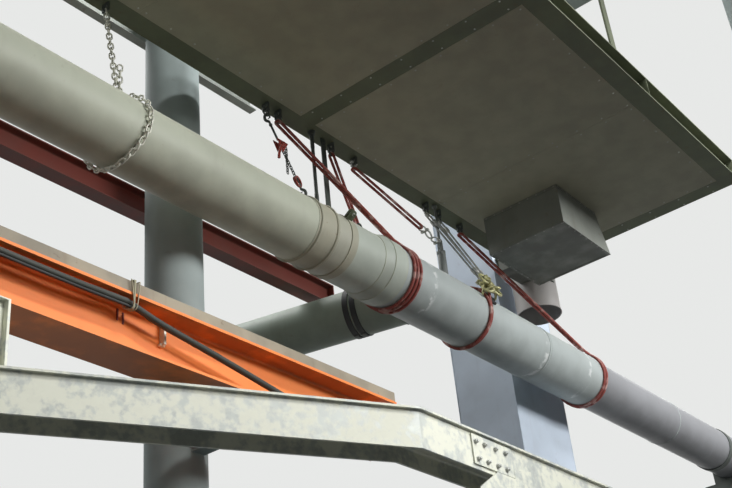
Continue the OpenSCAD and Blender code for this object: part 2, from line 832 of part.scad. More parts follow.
// Trestle under the far end: two splayed legs, a head beam and a saddle
leg_od = 170;
foot_w = 400;
foot_t = 25;
foot_out = 1150;
head_h = 120;
head_z = pipe_z - end_od / 2 - 160;
leg_wall = 9;
leg_in = 260;
brace_z = 3200;
brace_d = 110;
brace_out = foot_out - (foot_out - leg_in) * brace_z / (head_z + 100);
module trestle_leg(side, d) {
    bar([at(trestle_station), pipe_y + side * foot_out, 0],
        [at(trestle_station), pipe_y + side * leg_in, head_z + 100], d);
}
module trestle_legs() {
    column_paint() for (side = [-1, 1]) {
        translate([at(trestle_station) - foot_w / 2, pipe_y + side * foot_out - foot_w / 2, 0])
            cube([foot_w, foot_w, foot_t]);
    }
    column_paint() difference() {
        union() {
            intersection() {
                for (side = [-1, 1]) trestle_leg(side, leg_od);
                translate([-big / 2, -big / 2, foot_t - eps])
                    cube([big, big, head_z - foot_t + eps]);
            }
            translate([at(trestle_station), pipe_y - brace_out, brace_z]) rotate([-90, 0, 0])
                cylinder(d = brace_d, h = 2 * brace_out);
        }
        for (side = [-1, 1]) intersection() {
            trestle_leg(side, leg_od - 2 * leg_wall);
            translate([-big / 2, -big / 2, foot_t]) cube([big, big, head_z - foot_t - leg_wall]);
        }
    }
}
module trestle_head() {
    color([0.35, 0.37, 0.35]) {
        translate([at(trestle_station) - 100, pipe_y - 420, head_z]) cube([200, 840, head_h]);
        difference() {
            translate([at(trestle_station) - 100, pipe_y - 260, head_z + head_h])
                cube([200, 520, 180]);
            translate([at(0), pipe_y, pipe_z]) rotate([0, 90, 0])
                cylinder(d = end_od + 2 * fit, h = run_len);
        }
    }
}

pipe_near();
pipe_middle();
pipe_tee();
pipe_far();
pipe_end();
branch_pipe();
pipe_coupling();
tee_ring();
near_hanger();
middle_hanger();
branch_strap();
end_clamp();
deck_edge_left();
deck_edge_right();
deck_joists();
deck_boards();
deck_floor();
deck_hangers();
deck_bracket();
column_left_near();
column_left_middle();
pier();
column_right_near();
column_right_far();
cross_beam_near();
cross_beam_middle();
cross_beam_far();
header_beam();
runway_beam_left();
runway_beam_right();
red_beam();
orange_girder();
girder_rail();
girder_brackets();
galvanised_diagonal();
galvanised_beam();
galvanised_splice();
galvanised_gusset();
galvanised_post();
galvanised_tie();
galvanised_prop();
vent_box();
vent_spigot();
sling_lugs();
collar_sling();
upper_sling();
middle_sling();
far_sling();
wire_ropes();
turnbuckle();
near_chain();
lever_hoist();
girder_cable();
trestle_legs();
trestle_head();
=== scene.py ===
import json
import math

import bpy
from mathutils import Matrix, Vector


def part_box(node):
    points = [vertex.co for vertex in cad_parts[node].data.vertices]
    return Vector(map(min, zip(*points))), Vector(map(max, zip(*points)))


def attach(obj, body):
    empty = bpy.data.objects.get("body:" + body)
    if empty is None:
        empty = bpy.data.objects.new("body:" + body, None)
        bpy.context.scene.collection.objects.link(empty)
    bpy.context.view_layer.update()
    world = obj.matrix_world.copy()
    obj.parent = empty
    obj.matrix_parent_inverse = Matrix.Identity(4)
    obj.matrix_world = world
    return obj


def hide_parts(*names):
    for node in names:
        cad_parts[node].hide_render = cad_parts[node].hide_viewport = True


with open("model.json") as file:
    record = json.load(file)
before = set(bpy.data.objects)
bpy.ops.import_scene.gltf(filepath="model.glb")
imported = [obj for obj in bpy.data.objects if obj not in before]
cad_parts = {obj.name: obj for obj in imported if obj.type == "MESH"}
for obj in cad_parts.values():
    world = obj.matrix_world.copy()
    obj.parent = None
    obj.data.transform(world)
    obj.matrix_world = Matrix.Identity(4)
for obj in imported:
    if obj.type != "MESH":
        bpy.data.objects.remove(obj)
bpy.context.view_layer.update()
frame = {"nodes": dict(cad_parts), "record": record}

scene = bpy.context.scene

# Places in the frame of the model, in metres, with +Y as left and -Y as right
RUN_HALF = 8.5
PIPE_Y = 0.960
PIPE_Z = 7.270
PIPE_R = 0.305
TEE_R = 0.320
FAR_R = 0.306
END_R = 0.290
DECK_Z = 8.600
DECK_LEFT = 0.920
EDGE_MIDDLE = 1.020
RIGHT_EDGE_MIDDLE = -1.606
DECK_RIGHT = -1.506
DECK_WIDTH = DECK_LEFT - DECK_RIGHT
COLUMN_TOP = 9.850
COLUMN_Y = 1.700
COLUMN_R = 0.255
RIGHT_COLUMN_Y = -3.004
RUNWAY_LEFT = 2.075
RUNWAY_RIGHT = -3.372
GIRDER_Y = 0.675
GIRDER_Z = 5.150
GALV_FACE = -0.800
GALV_BACK = -0.520
GALV_Z = 4.640

# Stations along the run, in millimetres from its near end
NEAR_COLUMN = 1200
MIDDLE_COLUMN = 6580
FAR_COLUMN = 9400
DECK_FROM = 1130
BAY = 2170
BAYS = 5
JOIST = 206
COUPLING_LUG = 7565
BRANCH = 9260
ROPE_LUGS = (9690, 9920)

# The shackles that hang from the lugs, and the slings that pass over their bows
PIN_Z = 8.538
SHACKLE_SIZE = 0.80
BOW_DROP = 0.104 * SHACKLE_SIZE
TURN_R = 0.016
TURN_PITCH = 0.052
LEG_R = 0.0145
LOOP_R = 0.024
LEG_STEP = 0.03
RING_LEAN = 0.030

UP = (0, 0, 1)
DOWN = (0, 0, -1)
LEFT = (0, 1, 0)
RIGHT = (0, -1, 0)
NEAR = (-1, 0, 0)
FAR = (1, 0, 0)
X_AXIS = Vector(FAR)
Y_AXIS = Vector(LEFT)
Z_AXIS = Vector(UP)


def station(mm):
    return mm / 1000.0 - RUN_HALF


# The camera stands low on the right, near the first column, and looks up along the pipe
CAMERA_AT = Vector((-8.1, -4.9, 1.6))
CAMERA_RIGHT = Vector((0.63033, -0.77088, -0.0918))
CAMERA_UP = Vector((-0.34844, -0.38659, 0.85389))
CAMERA_AHEAD = Vector((0.69374, 0.50625, 0.51229))
FOCAL_PIXELS = 1182.5
FRAME_WIDTH = 732.0
SENSOR = 36.0


def set_camera():
    data = bpy.data.cameras.new("photo_camera")
    data.sensor_fit = "HORIZONTAL"
    data.sensor_width = SENSOR
    data.lens = SENSOR * FOCAL_PIXELS / FRAME_WIDTH
    data.clip_end = 200.0
    camera = bpy.data.objects.new("photo_camera", data)
    turn = Matrix((CAMERA_RIGHT, CAMERA_UP, -CAMERA_AHEAD)).transposed()
    camera.matrix_world = Matrix.Translation(CAMERA_AT) @ turn.to_4x4()
    scene.collection.objects.link(camera)
    scene.camera = camera


def add_light(name, place, target, power, width, height):
    data = bpy.data.lights.new(name, "AREA")
    data.shape = "RECTANGLE"
    data.size = width
    data.size_y = height
    data.energy = power
    light = bpy.data.objects.new(name, data)
    light.location = place
    ahead = Vector(target) - Vector(place)
    light.rotation_euler = ahead.to_track_quat("-Z", "Y").to_euler()
    scene.collection.objects.link(light)


def seen_ray(tree):
    """One for what the camera, a mirror or glass sees, and nought for light on the object."""
    path = tree.nodes.new("ShaderNodeLightPath").outputs
    either = math_node(tree, "MAXIMUM", path["Is Camera Ray"], path["Is Glossy Ray"])
    return math_node(tree, "MAXIMUM", either, path["Is Transmission Ray"])


def background(tree, colour, strength):
    """What the world shows or sheds. A strength of one looks as written."""
    made = tree.nodes.new("ShaderNodeBackground")
    made.inputs["Color"].default_value = (*colour, 1.0)
    made.inputs["Strength"].default_value = strength
    return made.outputs["Background"]


def set_studio():
    scene.view_settings.view_transform = "Standard"
    add_light("open_side", (4.5, -16.0, 11.5), (0.5, 0.5, 6.5), 3150.0, 14.0, 4.0)
    add_light("open_side_high", (-1.0, -13.0, 18.5), (0.0, 0.5, 5.0), 2400.0, 9.0, 1.4)
    add_light("behind_pipe", (-2.0, 9.5, 19.0), (0.0, 0.9, 7.0), 1700.0, 8.0, 8.0)
    add_light("far_fill", (17.0, 6.0, 12.0), (3.0, 0.5, 6.0), 500.0, 7.0, 7.0)
    add_light("near_fill", (-19.0, -3.0, 8.0), (-2.0, 0.5, 6.5), 90.0, 9.0, 9.0)
    world = bpy.data.worlds.new("pale_studio")
    world.use_nodes = True
    tree = world.node_tree
    tree.nodes.clear()
    out = tree.nodes.new("ShaderNodeOutputWorld")
    mix = tree.nodes.new("ShaderNodeMixShader")
    tree.links.new(seen_ray(tree), mix.inputs["Fac"])
    tree.links.new(background(tree, (0.90, 0.93, 0.95), 0.07), mix.inputs[1])
    tree.links.new(background(tree, (0.80, 0.81, 0.80), 1.0), mix.inputs[2])
    tree.links.new(mix.outputs["Shader"], out.inputs["Surface"])
    scene.world = world


def make_floor():
    """Wide floor that sends little light up, but looks as pale as the background."""
    deselect()
    bpy.ops.mesh.primitive_plane_add(size=600.0, location=(0.0, 0.0, -0.002))
    floor = bpy.context.object
    floor.name = "floor"
    material = bpy.data.materials.new("pale_floor")
    material.use_nodes = True
    tree = material.node_tree
    shader = tree.nodes["Principled BSDF"]
    shader.inputs["Roughness"].default_value = 0.8
    shader.inputs["Specular IOR Level"].default_value = 0.1
    shader.inputs["Emission Color"].default_value = (0.76, 0.77, 0.76, 1.0)
    seen = seen_ray(tree)
    colour = mix_colour(tree, seen, (0.045, 0.045, 0.045, 1.0), (0.09, 0.09, 0.09, 1.0))
    tree.links.new(colour, shader.inputs["Base Color"])
    tree.links.new(product(tree, seen, 0.88), shader.inputs["Emission Strength"])
    floor.data.materials.append(material)


# Ways of working that every piece shares
def deselect():
    if bpy.context.object and bpy.context.object.mode != "OBJECT":
        bpy.ops.object.mode_set(mode="OBJECT")
    bpy.ops.object.select_all(action="DESELECT")


def pick(piece):
    deselect()
    piece.select_set(True)
    bpy.context.view_layer.objects.active = piece


def place_in_mesh(piece):
    pick(piece)
    bpy.ops.object.transform_apply(location=True, rotation=True, scale=True)
    return piece


def smooth(piece, degrees=35):
    pick(piece)
    bpy.ops.object.shade_smooth_by_angle(angle=math.radians(degrees))
    return piece


def ease(piece, width, segments=2):
    """Bevels the sharp edges."""
    place_in_mesh(piece)
    edges = piece.modifiers.new("eased", "BEVEL")
    edges.width = width
    edges.segments = segments
    edges.limit_method = "ANGLE"
    bpy.ops.object.modifier_apply(modifier="eased")
    return smooth(piece)


def join(pieces):
    deselect()
    for piece in pieces:
        piece.select_set(True)
    bpy.context.view_layer.objects.active = pieces[0]
    if len(pieces) > 1:
        bpy.ops.object.join()
    return bpy.context.object


def copy_of(piece, turn):
    made = piece.copy()
    made.data = piece.data.copy()
    scene.collection.objects.link(made)
    made.matrix_world = turn
    return made


def drop(*pieces):
    for piece in pieces:
        bpy.data.objects.remove(piece)


def facing(place, normal, across=X_AXIS):
    """Where a piece made at the origin, upright along Z, goes when it stands on a face."""
    up = Vector(normal).normalized()
    side = Vector(across) - up * up.dot(Vector(across))
    if side.length < 0.01:
        side = up.orthogonal()
    side.normalize()
    turn = Matrix((side, up.cross(side), up)).transposed()
    return Matrix.Translation(place) @ turn.to_4x4()


def settle(parts, name, look, stands_for=()):
    """Joins the parts at the origin as one named piece with its look, and lets it ride."""
    piece = place_in_mesh(join(parts))
    piece.name = name
    piece.data.name = name
    piece.data.materials.clear()
    piece.data.materials.append(looks[look])
    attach(piece, "root")
    if stands_for:
        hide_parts(*stands_for)


def block(low, high, eased=0.003):
    """A plate or bar between two corners, with eased edges."""
    deselect()
    middle = [(a + b) / 2 for a, b in zip(low, high)]
    bpy.ops.mesh.primitive_cube_add(size=1.0, location=middle)
    piece = bpy.context.object
    piece.scale = [b - a for a, b in zip(low, high)]
    return ease(piece, eased)


def block_at(x, y, z, eased=0.003):
    """A block from its reach along each axis, given as pairs."""
    return block((x[0], y[0], z[0]), (x[1], y[1], z[1]), eased)


def about(middle, half):
    return middle - half, middle + half


def round_bar(place, radius, length, axis=UP, sides=24, eased=0.002):
    """A disc, pin or tube end centred on its place, along an axis, with eased edges."""
    deselect()
    bpy.ops.mesh.primitive_cylinder_add(vertices=sides, radius=radius, depth=length)
    piece = bpy.context.object
    piece.matrix_world = facing(place, axis)
    return ease(piece, eased)


def tube(points, radius, sides=12, closed=False, swell=None):
    """A round bar along the points. Swell gives each point its share of the radius."""
    data = bpy.data.curves.new("line", "CURVE")
    data.dimensions = "3D"
    data.bevel_depth = radius
    data.bevel_resolution = (sides - 4) // 2
    data.use_fill_caps = True
    line = data.splines.new("POLY")
    line.points.add(len(points) - 1)
    for i, point in enumerate(points):
        line.points[i].co = (*point, 1.0)
        line.points[i].radius = swell[i] if swell else 1.0
    line.use_cyclic_u = closed
    piece = bpy.data.objects.new("line", data)
    scene.collection.objects.link(piece)
    pick(piece)
    bpy.ops.object.convert(target="MESH")
    return smooth(bpy.context.object, 60)


def rounded(points, count=8):
    """A smooth line through the points."""
    line = [Vector(p) for p in points]
    line = [2 * line[0] - line[1]] + line + [2 * line[-1] - line[-2]]
    made = []
    for a, b, c, d in zip(line, line[1:], line[2:], line[3:]):
        for i in range(count):
            t = i / count
            made.append(0.5 * (2 * b + (c - a) * t + (2 * a - 5 * b + 4 * c - d) * t * t
                               + (3 * b - a - 3 * c + d) * t ** 3))
    made.append(line[-2])
    return made


def between(start, end, step):
    """Points on a straight line, about a step apart."""
    count = max(1, round((end - start).length / step))
    return [start.lerp(end, i / count) for i in range(count + 1)]


def arc(centre, first, second, steps, turn, count):
    """Points in equal steps of a turn about the centre, with two half axes."""
    return [centre + first * math.cos(turn * i / steps) + second * math.sin(turn * i / steps)
            for i in range(count)]


def ring(centre, first, second, count):
    """Points round a ring, whose two half axes are given."""
    return arc(centre, first, second, count, math.tau, count)


def half_ring(centre, first, second, count=8):
    """Points from the first half axis over the second to the first's far side."""
    return arc(centre, first, second, count, math.pi, count + 1)


def on_pipe(x, radius, angle):
    return Vector((x, PIPE_Y + radius * math.cos(angle), PIPE_Z + radius * math.sin(angle)))


def corners(x, y, half_x, half_y):
    """The four corners of a bolt pattern in plan."""
    return [(x + dx, y + dy) for dx in (-half_x, half_x) for dy in (-half_y, half_y)]


# Shader nodes in short
def math_node(tree, operation, first, second):
    """A product, sum or difference is kept between nought and one."""
    made = tree.nodes.new("ShaderNodeMath")
    made.operation = operation
    made.use_clamp = operation in ("MULTIPLY", "ADD", "SUBTRACT")
    for i, value in enumerate((first, second)):
        if isinstance(value, (int, float)):
            made.inputs[i].default_value = value
        else:
            tree.links.new(value, made.inputs[i])
    return made.outputs[0]


def product(tree, first, second):
    return math_node(tree, "MULTIPLY", first, second)


def total(tree, first, second):
    return math_node(tree, "ADD", first, second)


def mix_colour(tree, amount, first, second):
    made = tree.nodes.new("ShaderNodeMix")
    made.data_type = "RGBA"
    for name, value in (("Factor", amount), ("A", first), ("B", second)):
        place = [s for s in made.inputs if s.name == name and s.enabled][0]
        if isinstance(value, (int, float, tuple)):
            place.default_value = value
        else:
            tree.links.new(value, place)
    return [s for s in made.outputs if s.enabled][0]


def band(tree, value, low, high):
    """Rises softly from nought at low to one at high."""
    made = tree.nodes.new("ShaderNodeMapRange")
    made.interpolation_type = "SMOOTHSTEP"
    made.inputs["From Min"].default_value = low
    made.inputs["From Max"].default_value = high
    tree.links.new(value, made.inputs["Value"])
    return made.outputs["Result"]


def object_place(tree):
    return tree.nodes.new("ShaderNodeTexCoord").outputs["Object"]


def split_axes(tree, vector):
    split = tree.nodes.new("ShaderNodeSeparateXYZ")
    tree.links.new(vector, split.inputs[0])
    return split.outputs


def upward(tree):
    """How far a face looks up, from minus one to one."""
    return split_axes(tree, tree.nodes.new("ShaderNodeNewGeometry").outputs["Normal"])["Z"]


def stretched(tree, place, stretch, turn=0.0):
    mapping = tree.nodes.new("ShaderNodeMapping")
    mapping.inputs["Scale"].default_value = stretch
    mapping.inputs["Rotation"].default_value = (0.0, 0.0, turn)
    tree.links.new(place, mapping.inputs["Vector"])
    return mapping.outputs["Vector"]


def noise(tree, place, scale, detail):
    made = tree.nodes.new("ShaderNodeTexNoise")
    made.inputs["Scale"].default_value = scale
    made.inputs["Detail"].default_value = detail
    tree.links.new(place, made.inputs["Vector"])
    return made.outputs["Fac"]


def ribs(tree, place, scale, direction):
    made = tree.nodes.new("ShaderNodeTexWave")
    made.bands_direction = direction
    made.inputs["Scale"].default_value = scale
    tree.links.new(place, made.inputs["Vector"])
    return made.outputs["Fac"]


def raise_bump(tree, height, strength, depth):
    lift = tree.nodes.new("ShaderNodeBump")
    lift.inputs["Strength"].default_value = strength
    lift.inputs["Distance"].default_value = depth
    tree.links.new(height, lift.inputs["Height"])
    tree.links.new(lift.outputs["Normal"], tree.nodes["Principled BSDF"].inputs["Normal"])


# Shader groups for effects that more than one finish uses
DUST = (0.55, 0.53, 0.46)


def open_group(name, inputs):
    """A group with its named inputs and the three outputs that every finish takes."""
    tree = bpy.data.node_groups.new(name, "ShaderNodeTree")
    for label, value in inputs.items():
        kind = "NodeSocketColor" if isinstance(value, tuple) else "NodeSocketFloat"
        made = tree.interface.new_socket(name=label, in_out="INPUT", socket_type=kind)
        made.default_value = value
    for label in ("Color", "Roughness", "Height"):
        kind = "NodeSocketColor" if label == "Color" else "NodeSocketFloat"
        tree.interface.new_socket(name=label, in_out="OUTPUT", socket_type=kind)
    return tree, tree.nodes.new("NodeGroupInput").outputs


def close_group(tree, colour, rough, height):
    out = tree.nodes.new("NodeGroupOutput")
    for label, value in (("Color", colour), ("Roughness", rough), ("Height", height)):
        tree.links.new(value, out.inputs[label])
    return tree


def build_aged_group():
    """Mottled paint with dust on what faces up, painted shade on what faces down, rust runs and small chips.
    """
    tree, given = open_group("aged_paint", {
        "Paint": (0.5, 0.5, 0.5, 1.0), "Dust": (*DUST, 1.0), "Rust": (0.16, 0.07, 0.035, 1.0),
        "Dust Amount": 0.5, "Rust Amount": 0.3, "Underside Shade Amount": 0.2, "Mottle": 0.3, "Base Roughness": 0.45})
    place = object_place(tree)
    level = upward(tree)
    up = band(tree, level, 0.05, 0.95)
    down = band(tree, product(tree, level, -1.0), 0.05, 0.9)
    cloud = noise(tree, place, 1.1, 6.0)
    blotch = noise(tree, place, 4.2, 5.0)
    grain = noise(tree, place, 34.0, 5.0)
    run = noise(tree, stretched(tree, place, (3.5, 3.5, 0.35)), 3.0, 5.0)
    chip = noise(tree, place, 11.0, 8.0)
    patchy = total(tree, product(tree, band(tree, cloud, 0.35, 0.7), 0.6),
                   product(tree, band(tree, blotch, 0.42, 0.68), 0.4))
    mottled = product(tree, patchy, given["Mottle"])
    darker = mix_colour(tree, mottled, given["Paint"], (0.09, 0.09, 0.08, 1.0))
    # Painted shade: faces that look down are darkened in blotches towards near black.
    painted_underside_shade = product(tree, product(tree, down, band(tree, blotch, 0.2, 0.6)), given["Underside Shade Amount"])
    shaded_below = mix_colour(tree, painted_underside_shade, darker, (0.05, 0.048, 0.042, 1.0))
    dusty = product(tree, product(tree, up, band(tree, grain, 0.2, 0.75)), given["Dust Amount"])
    coated = mix_colour(tree, dusty, shaded_below, given["Dust"])
    runs = product(tree, band(tree, run, 0.56, 0.76), given["Rust Amount"])
    spots = product(tree, band(tree, chip, 0.66, 0.72), given["Rust Amount"])
    rusty = math_node(tree, "MAXIMUM", product(tree, runs, 0.6), spots)
    aged = mix_colour(tree, rusty, coated, given["Rust"])
    rough = total(tree, given["Base Roughness"],
                  product(tree, math_node(tree, "MAXIMUM", dusty, rusty), 0.35))
    height = total(tree, product(tree, grain, 0.35), product(tree, rusty, 0.4))
    return close_group(tree, aged, rough, height)


def build_spangle_group():
    """Crystals of hot-dip zinc with white bloom."""
    tree, given = open_group("zinc_spangle", {
        "Zinc": (0.6, 0.62, 0.58, 1.0), "Bloom": (0.82, 0.82, 0.72, 1.0), "Bloom Amount": 0.6,
        "Crystal Scale": 30.0})
    place = object_place(tree)
    cells = tree.nodes.new("ShaderNodeTexVoronoi")
    tree.links.new(place, cells.inputs["Vector"])
    tree.links.new(given["Crystal Scale"], cells.inputs["Scale"])
    tone = tree.nodes.new("ShaderNodeSeparateColor")
    tree.links.new(cells.outputs["Color"], tone.inputs[0])
    patch = noise(tree, place, 5.0, 6.0)
    fine = noise(tree, place, 22.0, 6.0)
    crystal = mix_colour(tree, product(tree, tone.outputs[0], 0.45), given["Zinc"], (0.36, 0.37, 0.36, 1.0))
    blend = total(tree, product(tree, patch, 0.6), product(tree, fine, 0.4))
    amount = product(tree, band(tree, blend, 0.42, 0.56), given["Bloom Amount"])
    return close_group(tree, mix_colour(tree, amount, crystal, given["Bloom"]),
                       total(tree, 0.36, product(tree, amount, 0.4)), product(tree, fine, 0.5))


def build_web_group():
    """Woven sheath with crossing ribs, worn in patches, and paler where it faces up as dust and painted
    highlight.
    """
    tree, given = open_group("woven_web", {
        "Web": (0.25, 0.04, 0.04, 1.0), "Worn And Highlight": (0.5, 0.28, 0.27, 1.0), "Wear And Highlight": 0.5})
    place = object_place(tree)
    up = band(tree, upward(tree), -0.1, 0.9)
    weave = product(tree, ribs(tree, place, 60.0, "X"),
                    ribs(tree, stretched(tree, place, (1.0, 1.0, 1.0), 0.8), 60.0, "DIAGONAL"))
    patch = noise(tree, place, 9.0, 5.0)
    # Worn patches, and on faces that look up the worn colour as dust and a painted highlight.
    rubbed_and_highlit = math_node(tree, "MAXIMUM", product(tree, up, 0.8), band(tree, patch, 0.5, 0.7))
    shade = mix_colour(tree, product(tree, weave, 0.35), given["Web"], (0.05, 0.012, 0.01, 1.0))
    colour = mix_colour(tree, product(tree, rubbed_and_highlit, given["Wear And Highlight"]), shade, given["Worn And Highlight"])
    return close_group(tree, colour, total(tree, 0.62, product(tree, patch, 0.3)), weave)


aged_group = build_aged_group()
spangle_group = build_spangle_group()
web_group = build_web_group()


def new_material(name, group, values, metallic=0.0, bump=0.25, specular=0.25):
    material = bpy.data.materials.new(name)
    material.use_nodes = True
    tree = material.node_tree
    shader = tree.nodes["Principled BSDF"]
    shader.inputs["Metallic"].default_value = metallic
    shader.inputs["Specular IOR Level"].default_value = specular
    effect = tree.nodes.new("ShaderNodeGroup")
    effect.name = "effect"
    effect.node_tree = group
    for key, value in values.items():
        effect.inputs[key].default_value = value
    raise_bump(tree, effect.outputs["Height"], bump, 0.002)
    tree.links.new(effect.outputs["Color"], shader.inputs["Base Color"])
    tree.links.new(effect.outputs["Roughness"], shader.inputs["Roughness"])
    return material


# The underside shade is painted shade: how far faces that look down are darkened.
def paint(name, colour, dust, rust, mottle, rough, dust_colour=DUST, underside_shade=0.2, specular=0.25):
    values = {"Paint": (*colour, 1.0), "Dust": (*dust_colour, 1.0), "Dust Amount": dust,
              "Rust Amount": rust, "Mottle": mottle, "Base Roughness": rough, "Underside Shade Amount": underside_shade}
    return new_material(name, aged_group, values, bump=0.2, specular=specular)


def zinc(name, colour, bloom, metallic, bloom_colour, crystals):
    values = {"Zinc": (*colour, 1.0), "Bloom": (*bloom_colour, 1.0), "Bloom Amount": bloom,
              "Crystal Scale": crystals}
    return new_material(name, spangle_group, values, metallic=metallic)


def paint_over(tree, amount, colour):
    """Lays a colour over what the material already shows."""
    target = tree.nodes["Principled BSDF"].inputs["Base Color"]
    under = target.links[0].from_socket
    tree.links.new(mix_colour(tree, amount, under, (*colour, 1.0)), target)


def tread_plate(name, steel, raised):
    """Worn floor plate with small raised bars that lie crosswise by turns."""
    material = paint(name, steel, 0.5, 0.3, 0.3, 0.55)
    tree = material.node_tree
    place = object_place(tree)
    flat = stretched(tree, place, (1.0, 1.0, 0.0))
    squares = tree.nodes.new("ShaderNodeTexChecker")
    squares.inputs["Scale"].default_value = 22.0
    tree.links.new(flat, squares.inputs["Vector"])
    one = ribs(tree, flat, 5.0, "DIAGONAL")
    other = ribs(tree, stretched(tree, place, (1.0, -1.0, 0.0)), 5.0, "DIAGONAL")
    bars = band(tree, mix_colour(tree, squares.outputs["Fac"], one, other), 0.55, 0.8)
    raise_bump(tree, bars, 0.7, 0.003)
    paint_over(tree, product(tree, bars, 0.5), raised)
    return material


def two_paints(material, amount, first, second):
    tree = material.node_tree
    mixed = mix_colour(tree, amount, (*first, 1.0), (*second, 1.0))
    tree.links.new(mixed, tree.nodes["effect"].inputs["Paint"])


def clamp_paint(name, band_colour, steel):
    """The clamp's band is painted with the pipe; its ear, rod and bar stay dark."""
    material = paint(name, steel, 0.3, 0.3, 0.3, 0.55)
    tree = material.node_tree
    shifted = tree.nodes.new("ShaderNodeVectorMath")
    shifted.operation = "SUBTRACT"
    shifted.inputs[1].default_value = (0.0, PIPE_Y, PIPE_Z)
    tree.links.new(object_place(tree), shifted.inputs[0])
    length = tree.nodes.new("ShaderNodeVectorMath")
    length.operation = "LENGTH"
    tree.links.new(stretched(tree, shifted.outputs["Vector"], (0.0, 1.0, 1.0)), length.inputs[0])
    outside = band(tree, length.outputs["Value"], PIPE_R + 0.012, PIPE_R + 0.022)
    two_paints(material, outside, band_colour, steel)
    return material


def changes_along(material, low, high, before, after):
    """One paint up to a station, in millimetres, and another past it."""
    tree = material.node_tree
    past = band(tree, split_axes(tree, object_place(tree))["X"], station(low), station(high))
    two_paints(material, past, before, after)


def scuffed_at(material, stations, pale):
    """Chalky scuffs in a broken ring at each of some stations, in millimetres."""
    half = 60
    tree = material.node_tree
    place = object_place(tree)
    along = split_axes(tree, place)["X"]
    marks = 0.0
    for at in stations:
        near = math_node(tree, "SUBTRACT", band(tree, along, station(at - half), station(at)),
                         band(tree, along, station(at), station(at + half)))
        marks = math_node(tree, "MAXIMUM", marks, near)
    broken = product(tree, marks, band(tree, noise(tree, place, 11.0, 7.0), 0.48, 0.60))
    paint_over(tree, product(tree, broken, 0.75), pale)


# Each paint has its colour, its shares of dust, rust and mottling, and its roughness. The dust's own
# colour, the share of painted shade on faces that look down and the gloss follow where they matter.
PAINTS = {
    "cream_pipe": ((0.55, 0.58, 0.47), 0.75, 0.08, 0.14, 0.50, (0.74, 0.74, 0.61)),
    "pale_pipe": ((0.54, 0.59, 0.52), 0.5, 0.06, 0.12, 0.44, (0.70, 0.72, 0.64)),
    "dusty_pipe": ((0.47, 0.46, 0.36), 0.8, 0.35, 0.35, 0.55, (0.62, 0.58, 0.46)),
    "grey_pipe": ((0.49, 0.54, 0.53), 0.35, 0.06, 0.12, 0.42, (0.70, 0.73, 0.70)),
    "end_pipe": ((0.27, 0.275, 0.29), 0.3, 0.06, 0.15, 0.45, (0.45, 0.45, 0.46)),
    "branch_paint": ((0.43, 0.52, 0.44), 0.3, 0.15, 0.3, 0.5),
    "dark_steel": ((0.09, 0.105, 0.095), 0.3, 0.3, 0.3, 0.5),
    "olive_steel": ((0.105, 0.125, 0.070), 0.6, 0.3, 0.3, 0.5),
    "black_rubber": ((0.022, 0.023, 0.024), 0.15, 0.0, 0.1, 0.6),
    "thick_hose": ((0.038, 0.042, 0.036), 0.25, 0.0, 0.3, 0.6, (0.26, 0.27, 0.23)),
    "deck_steel": ((0.155, 0.175, 0.110), 0.5, 0.2, 0.3, 0.6),
    "board": ((0.42, 0.405, 0.31), 0.1, 0.06, 0.16, 0.7, DUST, 0.1),
    "column_paint": ((0.44, 0.51, 0.50), 0.5, 0.10, 0.2, 0.65, DUST, 0.2, 0.1),
    "pier_paint": ((0.58, 0.66, 0.76), 0.4, 0.08, 0.15, 0.55, (0.50, 0.54, 0.58)),
    "runway_paint": ((0.58, 0.62, 0.57), 0.5, 0.2, 0.25, 0.5),
    # The red paint's pale pinkish dust is dust and also a painted highlight along the lower flange's lip.
    "red_paint": ((0.20, 0.042, 0.030), 0.9, 0.15, 0.25, 0.45, (0.62, 0.48, 0.45), 0.4),
    "orange_paint": ((0.90, 0.25, 0.055), 0.35, 0.08, 0.08, 0.5, (0.62, 0.40, 0.28), 0.5),
    "rail_paint": ((0.36, 0.31, 0.23), 0.7, 0.45, 0.5, 0.65, (0.50, 0.46, 0.38)),
    "vent_metal": ((0.26, 0.275, 0.245), 0.5, 0.15, 0.3, 0.5, DUST, 0.6),
    "spigot_metal": ((0.44, 0.42, 0.405), 0.4, 0.15, 0.3, 0.45),
    "hoist_paint": ((0.36, 0.050, 0.035), 0.3, 0.3, 0.3, 0.45),
    "turnbuckle_paint": ((0.24, 0.26, 0.25), 0.3, 0.15, 0.3, 0.5),
    "cord_yarn": ((0.42, 0.39, 0.27), 0.2, 0.0, 0.25, 0.8, (0.66, 0.64, 0.54)),
}

# Each zinc has its colour, its shares of bloom and of bare metal, the bloom's colour, and how small
# its crystals are
ZINCS = {
    "zinc": ((0.50, 0.53, 0.49), 0.75, 0.12, (0.74, 0.74, 0.62), 30.0),
    "rope_steel": ((0.36, 0.37, 0.36), 0.25, 0.4, (0.82, 0.82, 0.70), 30.0),
    "chain_zinc": ((0.62, 0.62, 0.54), 0.6, 0.2, (0.84, 0.84, 0.74), 60.0),
    "passivated_zinc": ((0.42, 0.40, 0.16), 0.5, 0.3, (0.76, 0.74, 0.42), 60.0),
    "bolt_zinc": ((0.40, 0.41, 0.39), 0.35, 0.5, (0.6, 0.6, 0.54), 60.0),
}

looks = {name: paint(name, *row) for name, row in PAINTS.items()}
looks.update({name: zinc(name, *row) for name, row in ZINCS.items()})
looks["clamp_paint"] = clamp_paint("clamp_paint", (0.47, 0.46, 0.36), (0.07, 0.085, 0.075))
looks["floor_plate"] = tread_plate("floor_plate", (0.22, 0.23, 0.22), (0.42, 0.43, 0.42))
